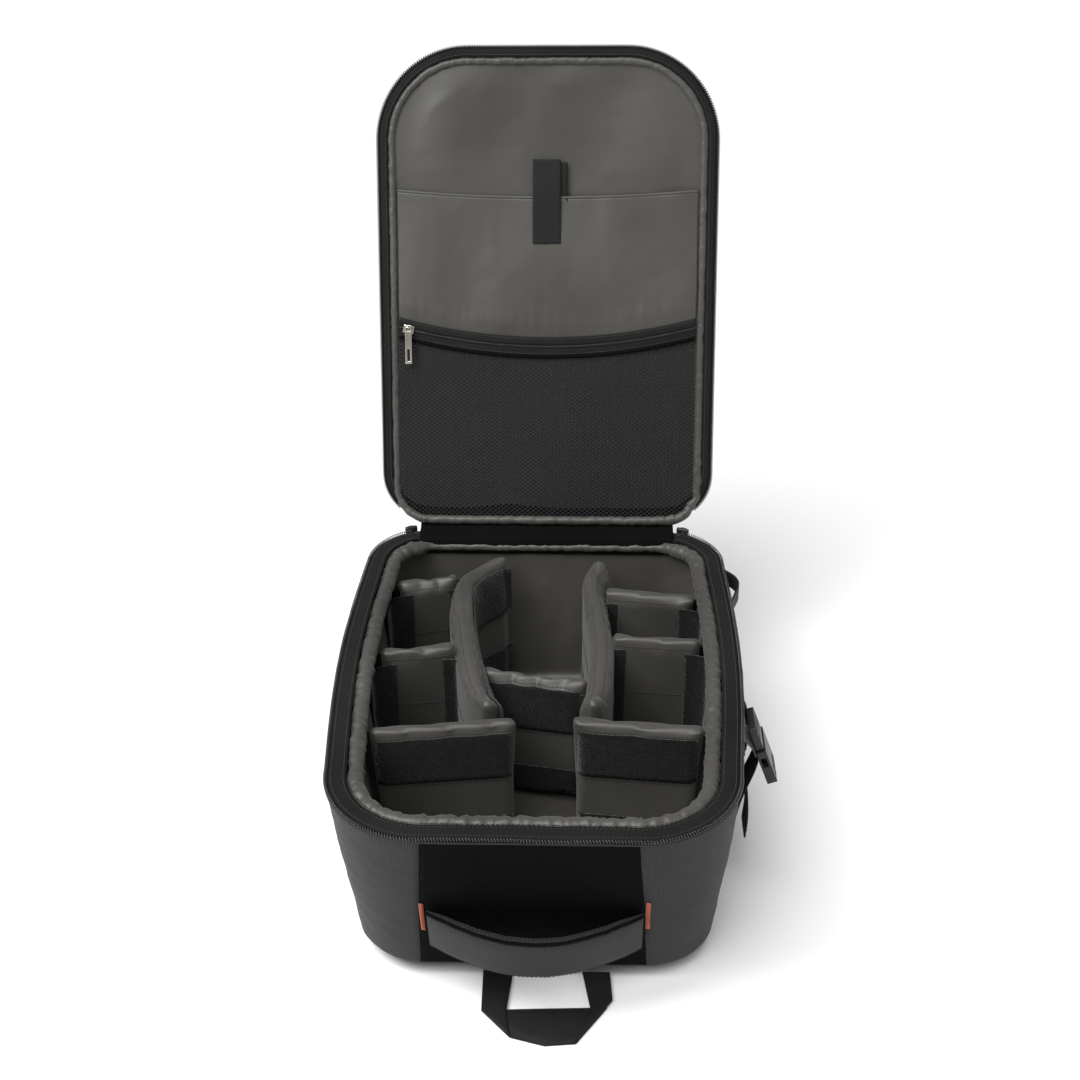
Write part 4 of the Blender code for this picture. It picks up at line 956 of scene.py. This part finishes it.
for name in ("near_foam", "far_foam", "side_foam_left", "side_foam_right", "base_foam", "lid_foam"):
    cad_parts[name].data.materials.clear()
    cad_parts[name].data.materials.append(foam)

# Stuffed pads: dividers, spine pad and shoulder straps.
# Foam sheets in loose covers. Each cover is blown up slightly from inside, as stuffing does, and
# the seams, hems and bands go on afterwards.

DIVIDERS = [f"divider_{word}_{side}" for word in ("long", "near", "mid", "far") for side in ("left", "right")]
DIVIDERS.append("divider_centre")
PADS = [(name, satin, name, 0.0048 if "long" in name or "centre" in name else 0.0026) for name in DIVIDERS]
PADS += [("spine_pad", net, "case", 0.0050), ("shoulder_strap_left", net, "case", 0.0050),
         ("shoulder_strap_right", net, "case", 0.0050)]
pads = {}
for name, finish, body_name, reach in PADS:
    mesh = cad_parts[name].data.copy()
    mesh.materials.clear()
    mesh.materials.append(finish)
    pad = bpy.data.objects.new(name + "_cover", mesh)
    scene.collection.objects.link(pad)
    remesh = pad.modifiers.new("cover", "REMESH")
    remesh.mode, remesh.voxel_size = "VOXEL", 0.0042
    bpy.context.view_layer.update()
    pad.data = bpy.data.meshes.new_from_object(pad.evaluated_get(bpy.context.evaluated_depsgraph_get()))
    pad.modifiers.clear()
    pads[name] = pad
flat = {name: np.array([v.co for v in pad.data.vertices]) for name, pad in pads.items()}
for name, pad in pads.items():
    cloth = pad.modifiers.new("stuffing", "CLOTH")
    cloth.settings.use_pressure = True
    cloth.settings.uniform_pressure_force = 4.0
    cloth.settings.quality = 4
    cloth.settings.mass = 0.25
    cloth.settings.shrink_min = -0.02
    cloth.settings.effector_weights.gravity = 0.0
    cloth.collision_settings.use_self_collision = False
    cloth.point_cache.frame_start, cloth.point_cache.frame_end = 1, 20
for step in range(1, 21):
    scene.frame_set(step)
graph = bpy.context.evaluated_depsgraph_get()
for name, finish, body_name, reach in PADS:
    pad = pads[name]
    blown = bpy.data.meshes.new_from_object(pad.evaluated_get(graph))
    pad.modifiers.clear()
    moved = np.array([v.co for v in blown.vertices]) - flat[name]
    far = np.linalg.norm(moved, axis=1, keepdims=True)
    moved *= np.minimum(1.0, reach / np.maximum(far, 1e-9))
    kept = flat[name] + moved
    kept[:, 2] = np.maximum(kept[:, 2], flat[name][:, 2].min())
    pad.data.vertices.foreach_set("co", kept.ravel())
    pad.data.update()
scene.frame_set(1)
trees = {}
for name, finish, body_name, reach in PADS:
    pad = pads[name]
    pad.data.uv_layers.new(name="weave")
    remap(pad, lambda spot: (spot.x + spot.y, spot.z if name in DIVIDERS else spot.y))
    soften = pad.modifiers.new("fine", "SUBSURF")
    soften.levels = soften.render_levels = 1
    smooth(pad)
    bpy.context.view_layer.update()
    trees[name] = BVHTree.FromObject(pad, bpy.context.evaluated_depsgraph_get())
    fit(pad, body_name, name, look="satin_lining" if name in DIVIDERS else "air_mesh", stuffing=0.6)

# Divider bands, hems and end flaps.
# Loop bands are sewn across both faces, a stitched hem runs along the top, and cloth flaps at the
# ends fold against the wall or the long dividers, where hook tape holds them.


BAY_INSET = 0.015


def bay_point(share_x, share_y):
    """A point of the compartment's floor, by its shares of the width and the length."""
    y = mix(near_y(LINING_FLOOR) + BAY_INSET, far_y(LINING_FLOOR) - BAY_INSET, share_y)
    return Vector((share_x * side_x(y, LINING_FLOOR, BAY_INSET), y))


def curve(points, steps):
    """A smooth line through points."""
    spots = [Vector(point) for point in points]
    ends = [2 * spots[0] - spots[1], *spots, 2 * spots[-1] - spots[-2]]
    path = []
    for a, b, c, d in zip(ends, ends[1:], ends[2:], ends[3:]):
        for step in range(steps):
            t = step / steps
            path.append(0.5 * ((2 * b) + (c - a) * t + (2 * a - 5 * b + 4 * c - d) * t * t
                               + (3 * b - a - 3 * c + d) * t ** 3))
    return path + [ends[-2]]


LONG = {
    "left": ((-0.25, 0.985), (-0.47, 0.915), (-0.56, 0.83), (-0.48, 0.61), (-0.37, 0.44), (-0.25, 0.345)),
    "right": ((0.40, 0.985), (0.345, 0.915), (0.345, 0.83), (0.385, 0.62), (0.36, 0.44), (0.30, 0.345)),
}


def middle_line(name):
    """The plan line along the middle of a divider."""
    word = name.split("_")[-1]
    if "long" in name:
        return curve([bay_point(x, y) for x, y in LONG[word]], 8)
    plan_points = flat[name][:, :2]
    centre = plan_points.mean(axis=0)
    axis = np.linalg.svd(plan_points - centre, full_matrices=False)[2][0]
    reach = (plan_points - centre) @ axis
    return [Vector(centre + axis * at) for at in np.linspace(reach.min(), reach.max(), 24)]


def long_face(word, y, toward):
    """The face of a long divider that looks toward one side, at a place along the case."""
    path = middle_line(f"divider_long_{word}")
    middle_x = path[-1].x
    for a, b in zip(path, path[1:]):
        if b.y <= y <= a.y:
            middle_x = mix(a.x, b.x, (y - a.y) / (b.y - a.y))
            break
    return middle_x + toward * 0.0088


for name in DIVIDERS:
    line = [Vector(p) for p in resample([(*p, 0) for p in middle_line(name)], 0.004)]
    top, low = flat[name][:, 2].max(), flat[name][:, 2].min()
    runs = [(line[min(k + 1, len(line) - 1)] - line[max(k - 1, 0)]).normalized() for k in range(len(line))]
    tree, hem_lines = trees[name], []

    def on_face(k, z, sign, lift):
        """A point on a face of the stuffed cover, beside point k of its middle line."""
        out = Vector((-runs[k].y, runs[k].x, 0)) * sign
        start = Vector((line[k].x, line[k].y, z)) + out * 0.03
        hit = tree.ray_cast(start, -out, 0.03)[0]
        return (hit if hit else start - out * 0.0245) + out * lift

    bands = [(top - 0.049, top - 0.008), (low + 0.004, top - 0.088)]
    for face_word, sign in (("a", 1), ("b", -1)):
        if "mid" in name or "far" in name:
            bands = []
        elif "long" in name and sign == (-1 if name.endswith("left") else 1):
            bands = bands[1:]
        for number, (z_low, z_high) in enumerate(bands):
            rows = [[on_face(k, z, sign, 0.0010) for z in np.linspace(z_low, z_high, 10)]
                    for k in range(1, len(line) - 1)]
            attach(strip(f"{name}_loop_{face_word}{number}", rows, pile, 0.0010, -1.0), name)
        for z in (top - 0.0065, top - 0.0515):
            hem_lines += stitches([on_face(k, z, sign, 0.0003) for k in range(1, len(line) - 1)], 0.0034)
    sew(f"{name}_stitching", hem_lines, 0.0003, name)
    if "long" in name:
        continue
    side = -1 if name.endswith("left") else 1
    for end, inward in ((0, 1), (-1, -1)):
        tip, away = line[end], runs[end] * -inward
        outward = side * tip.x > 0.10 and name != "divider_centre"
        if "near" in name and not outward:
            continue
        for sign in (1, -1):
            if "near" in name and away.cross(Vector((0, 0, 1))).y * sign > 0:
                continue

            def target(y):
                """Where the wall or the long divider that the flap lies on is, across the case."""
                if outward:
                    return side * side_x(y, 0.10, 0.0172)
                if name == "divider_centre":
                    word = "left" if away.x < 0 else "right"
                    return long_face(word, y, 1 if word == "left" else -1)
                return long_face(name.split("_")[-1], y, side)

            across = Vector((-away.y, away.x, 0)) * sign
            step = 1 if across.y > 0 else -1
            spots = [tip - away * 0.012 + across * 0.0078, tip - away * 0.002 + across * 0.0084]
            for y in [tip.y + step * shift for shift in (0.0125, 0.020, 0.031)]:
                spots.append(Vector((target(y), y, 0)))
            rows = [[Vector((p.x + 0.0006 * ripple((p.x, p.y, z), 0.012, 81.0), p.y, z))
                     for z in np.linspace(low + 0.006, top - 0.010, 26)]
                    for p in curve([p.to_2d() for p in spots], 6)]
            piece_name = f"{name}_flap_{'in' if end else 'out'}_{'a' if sign > 0 else 'b'}"
            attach(strip(piece_name, rows, satin if "near" in name else pile, 0.0012, 0.0), name)

# Carry handle.
# A foam strap between the corner seams of the near end, ribbed cloth outside and air mesh inside,
# joined along a bound edge, with orange bartacks at its ends.

HANDLE_LEVEL, HANDLE_SEAM = 0.060, 0.37 * math.pi
HANDLE_REACH, HANDLE_TALL = 0.0785, 0.0226
lean = math.atan2(NEAR_SLOPE, HEIGHT)
handle_up = Vector((0, -math.sin(lean), math.cos(lean)))
handle_out = Vector((0, -math.cos(lean), -math.sin(lean)))
handle_mid = Vector((0.0025, near_y(HANDLE_LEVEL), BASE + HANDLE_LEVEL))


def handle_point(share, turn):
    """A point of the handle's skin: share from one end to the other, and turn round its section."""
    thin = 0.0052 * (1 - 0.62 * share ** 8)
    out = 0.0072 + 0.0240 * math.cos(math.pi / 2 * share)
    a, b = math.cos(turn), math.sin(turn)
    round_a = math.copysign(abs(a) ** 0.75, a)
    round_b = math.copysign(abs(b) ** 0.62, b)
    pucker = 0.0006 * ripple((share * 0.08, 0, b * 0.01), 0.0070, 91.0) * abs(round_b) ** 3
    wave = 0.0006 * ripple((share * 0.08, b * 0.02, 0), 0.018, 93.0)
    return (handle_mid + Vector((share * HANDLE_REACH, 0, 0)) + handle_out * (out + thin * round_a + wave)
            + handle_up * (HANDLE_TALL * round_b + pucker))


shares = np.linspace(-1, 1, 150)
for name, finish, turns, old in (
    ("handle_grip_cloth", ribbed, np.linspace(-math.pi / 2, HANDLE_SEAM, 26), "carry_handle_grip"),
    ("handle_air_mesh", net, np.linspace(HANDLE_SEAM, 3 * math.pi / 2, 26), "carry_handle_mesh"),
):
    piece = strip(name, [[handle_point(share, turn) for turn in turns] for share in shares], finish)
    fit(piece, "carry_handle", old, look="ribbed_fabric" if finish is ribbed else "air_mesh", stuffing=0.7)
edges = [[handle_point(share, turn) for share in shares] for turn in (HANDLE_SEAM, -math.pi / 2)]
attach(tubes("handle_bound_edge", edges, 0.0013, 8, dark_cloth), "carry_handle")
lines = []
for turn in (0.86, -1.12):
    lines += stitches([handle_point(share, turn) + handle_out * 0.0003 for share in shares])
sew("handle_stitching", lines, 0.0003, "carry_handle")

for word, across, low, high in (("left", -0.0803, 0.050, 0.083), ("right", 0.0848, 0.056, 0.088)):
    start, end = (Vector((across, near_y(level) - 0.0026, BASE + level)) for level in (high, low))
    zigzag = [start.lerp(end, k / 65) + Vector((0.0014 if k % 2 else -0.0014, -0.0008, 0)) for k in range(66)]
    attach(tubes(f"handle_bartack_{word}", [zigzag], 0.00042, 5, orange), "case")

# Grab loop.
# One length of webbing folded flat at two slanted corners, sewn into the bottom seam.


def flat_web(name, corners, along, z, thick):
    """A flat stretch of webbing cut to corners, with its map along the webbing."""
    centre = sum((Vector(c) for c in corners), Vector((0, 0))) / len(corners)
    shape = bmesh.new()
    made = shape.faces.new([shape.verts.new((c[0], c[1], z)) for c in corners])
    bmesh.ops.triangulate(shape, faces=[made])
    bmesh.ops.subdivide_edges(shape, edges=shape.edges[:], cuts=5, use_grid_fill=True)
    mesh = bpy.data.meshes.new(name)
    shape.to_mesh(mesh)
    shape.free()
    mesh.uv_layers.new(name="weave")
    mesh.materials.append(web)
    obj = bpy.data.objects.new(name, mesh)
    scene.collection.objects.link(obj)
    axis = Vector(along).normalized()
    across = Vector((axis.y, -axis.x))
    remap(obj, lambda spot: ((spot.to_2d() - centre).dot(axis), (spot.to_2d() - centre).dot(across)))
    for vert in mesh.vertices:
        vert.co.z += 0.0003 * ripple(vert.co, 0.018, 95.0)
    solid = obj.modifiers.new("thickness", "SOLIDIFY")
    solid.thickness, solid.offset = thick, 0.0
    return smooth(obj)


loop_parts = (
    ("grab_loop_web", (1, 0.02), 0.0012,
     ((-0.038, -0.211), (0.056, -0.2065), (0.033, -0.241), (0.010, -0.2435), (-0.016, -0.236))),
    ("grab_loop_left_leg", (0.02, 1), 0.0027,
     ((-0.039, -0.1725), (-0.016, -0.1725), (-0.0195, -0.2140), (-0.016, -0.2355), (-0.038, -0.212))),
    ("grab_loop_right_leg", (-0.05, 1), 0.0027,
     ((0.037, -0.1725), (0.058, -0.1725), (0.0600, -0.200), (0.033, -0.2405), (0.044, -0.212))),
)
for name, along, z, corners in loop_parts:
    piece = flat_web(name, corners, along, z, 0.0014)
    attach(piece, "grab_loop")
    if name == "grab_loop_web":
        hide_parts("grab_loop")

# Side pocket.
# A ribbed cloth pocket on the right side, open towards the near end, where an elastic binding
# gathers it. A folded loop of webbing stands off the wall above it.


POCKET_NEAR, POCKET_FAR = -0.015, 0.150


def pocket_point(y, share, extra=0.0):
    """A point of the pocket's cloth: along the case, and its share of the pocket's height."""
    along = min(1.0, max(0.0, (POCKET_FAR - y) / (POCKET_FAR - POCKET_NEAR)))
    height = mix(0.028, 0.138, share)
    swell = 0.011 * math.sin(math.pi * share) ** 0.5 * along ** 0.5
    crease = 0.0010 * ripple((y, share * 0.06, 0), 0.026, 101.0)
    crease += 0.0007 * ripple((y * 0.5, share * 0.1, 0), 0.009, 103.0)
    pull_in = max(0.0, 1 - (y - POCKET_NEAR) / 0.03)
    gather = 0.0014 * pull_in * ripple((0, share * 0.11, 0), 0.0055, 105.0)
    swell += (crease + gather) * math.sin(math.pi * share) ** 0.5
    return Vector((side_x(y, height) + 0.0018 + swell + extra, y, BASE + height))


rows = [[pocket_point(y, k / 48) for k in range(49)] for y in np.linspace(POCKET_NEAR, POCKET_FAR, 70)]
piece = strip("side_pocket_cloth", rows, ribbed, 0.0012, 0.0)
fit(piece, "case", "side_pocket", look="ribbed_fabric")
rows = []
for y in np.linspace(POCKET_NEAR - 0.0102, POCKET_NEAR, 7):
    rows.append([pocket_point(POCKET_NEAR, k / 120, 0.0008 + 0.0006 * math.sin(k * 1.9))
                 + Vector((0, y - POCKET_NEAR, 0)) for k in range(121)])
piece = strip("side_pocket_elastic", rows, dark_cloth, 0.0016, 0.0)
fit(piece, "case", "pocket_elastic", look="dark_fabric")
edge = [pocket_point(y, share, 0.0004) for share, y in
        [(0.0, y) for y in np.linspace(POCKET_NEAR, POCKET_FAR, 40)]
        + [(share, POCKET_FAR) for share in np.linspace(0.03, 0.97, 30)]
        + [(1.0, y) for y in np.linspace(POCKET_FAR, POCKET_NEAR, 40)]]
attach(tubes("side_pocket_seam", [edge], 0.0012, 8, dark_cloth), "case")
rows = []
for share in np.linspace(0, 1, 40):
    y = mix(0.094, 0.154, share)
    out = 0.0012 + 0.011 * math.sin(math.pi * share ** 1.6)
    rows.append([Vector((side_x(y, HEIGHT) + out + 0.0003 * ripple((y, z, 0), 0.01, 107.0), y, z))
                 for z in np.linspace(0.1515, 0.1655, 8)])
fit(strip("side_web_loop_cloth", rows, web, 0.0013, 0.0), "case", "side_web_loop", look="webbing")

# Compression strap and its buckle.
# A grey web from the rim holds the plug of a side release buckle; a black web runs from the socket
# to the foot of the wall and ends in a folded, sewn tail.


BUCKLE_Y, WEB_HALF = -0.060, 0.0125


def web_wall(height):
    """How far out the wall is behind the web."""
    return max(side_x(BUCKLE_Y + sign * WEB_HALF, height) for sign in (-1, 0, 1))


def hanging_web(name, path, finish, old):
    rows = [[Vector((p.x + 0.0003 * ripple((p.x, y, p.y), 0.02, 111.0), y, p.y))
             for y in np.linspace(BUCKLE_Y - WEB_HALF, BUCKLE_Y + WEB_HALF, 12)] for p in curve(path, 8)]
    fit(strip(name, rows, finish, 0.0013, 0.0), "case", old, look="webbing")


lean_b = math.radians(20.4)
down = Vector((math.sin(lean_b), 0, -math.cos(lean_b)))
off = Vector((math.cos(lean_b), 0, math.sin(lean_b)))
top_of = Vector((web_wall(0.150) + 0.0074, BUCKLE_Y, BASE + 0.150))
behind = top_of - off * 0.00545
upper = [(web_wall(h) + 0.00095, BASE + h) for h in (0.155, 0.142)]
upper += [((behind + down * t).x, (behind + down * t).z) for t in (0.020, 0.028)]
grey_web = finish_of("grey webbing", (0.075, 0.076, 0.078), (0.135, 0.136, 0.140), 0.7, sheen=0.2,
                     specular=0.35, across=0.0021, along=0.0014, twill=0.8, rib_depth=0.00025, stripe=0.4)
hanging_web("upper_web_cloth", upper, grey_web, "upper_web")
hang = behind + down * 0.0335
lower = [(hang.x, hang.z), (hang.x - 0.003, hang.z - 0.012)]
lower += [(web_wall(h) + swell, BASE + h) for h, swell in ((0.080, 0.010), (0.050, 0.007))]
lower += [(web_wall(h) + 0.0019, BASE + h) for h in (0.030, 0.014)]
hanging_web("lower_web_cloth", lower, web, "lower_web")
tail_x = web_wall(0.080) + 0.014
tail_path = [(tail_x + extra, BASE + h) for h, extra in ((0.088, 0.0), (0.062, 0.002), (0.040, 0.001))]
hanging_web("web_tail_cloth", tail_path, web, "web_tail")
lines = []
for x, h in ((tail_x + 0.0024, 0.046), (tail_x + 0.0024, 0.051),
             (web_wall(0.018) + 0.0030, 0.018), (web_wall(0.026) + 0.0030, 0.026)):
    lines += stitches([Vector((x, y, BASE + h)) for y in np.linspace(-0.071, -0.049, 8)], 0.003)
sew("web_stitching", lines, 0.0003, "case")

axes = (Vector((0, 1, 0)), down, off)
head = block("buckle_plug_head", plastic, top_of + down * 0.011, axes, (0.0285, 0.0215, 0.0062), 0.0016,
             cuts=(((0, -0.0055, 0), (0.0250, 0.0030, 0.02)), ((0, 0.0005, 0), (0.0250, 0.0028, 0.02))))
fit(head, "case", "buckle_plug", look="buckle_plastic")
for word, shift in (("a", -0.0085), ("b", 0.0085)):
    prong = block(f"buckle_prong_{word}", plastic, top_of + down * 0.0285 + axes[0] * shift, axes,
                  (0.0034, 0.0165, 0.0032), 0.0006)
    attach(prong, "case")
shell = block("buckle_socket_shell", plastic, top_of + down * 0.0383, axes, (0.0320, 0.0312, 0.0080), 0.0030,
              cuts=(((0, -0.0090, 0), (0.0240, 0.0150, 0.0046)),
                    ((-0.0150, -0.0050, 0), (0.0060, 0.0090, 0.0044)),
                    ((0.0150, -0.0050, 0), (0.0060, 0.0090, 0.0044)),
                    ((0, 0.0118, 0.0), (0.0250, 0.0030, 0.02))))
fit(shell, "buckle_socket", "buckle_socket", look="buckle_plastic")
ribs = []
for k in range(5):
    level = top_of + down * (0.0455 + 0.0016 * k) + off * 0.0039
    ribs.append([level + axes[0] * at for at in np.linspace(-0.0085, 0.0085, 8)])
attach(tubes("buckle_socket_ribs", ribs, 0.0004, 6, plastic), "buckle_socket")

# Shoulder strap hardware.
# Moulded ladder locks join the padded straps to plain webbing sewn to the far corners.

for word in ("left", "right"):
    low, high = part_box(f"strap_adjuster_{word}")
    centre, size = (Vector(low) + Vector(high)) / 2, Vector(high) - Vector(low)
    lock = block(f"ladder_lock_{word}", plastic, centre, ((1, 0, 0), (0, 1, 0), (0, 0, 1)), size, 0.0014,
                 cuts=(((0, -0.0055, 0), (0.0245, 0.0035, 0.03)), ((0, 0.0010, 0), (0.0245, 0.0030, 0.03)),
                       ((0, 0.0066, 0), (0.0245, 0.0030, 0.03))))
    fit(lock, "case", f"strap_adjuster_{word}", look="buckle_plastic")
    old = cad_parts[f"strap_webbing_{word}"]
    spots = sorted((tuple(v.co) for v in old.data.vertices), key=lambda p: p[1])
    first, final = (Vector(np.mean(end, axis=0)) for end in (spots[:4], spots[-4:]))
    rows = [[first.lerp(final, t) + Vector((x, 0, 0.0006 * ripple((t * 0.1, x, 0), 0.02, 121.0)))
             for x in np.linspace(-0.0105, 0.0105, 12)] for t in np.linspace(0, 1, 40)]
    fit(strip(f"strap_web_{word}", rows, web, 0.0014, 0.0), "case", f"strap_webbing_{word}", look="webbing")
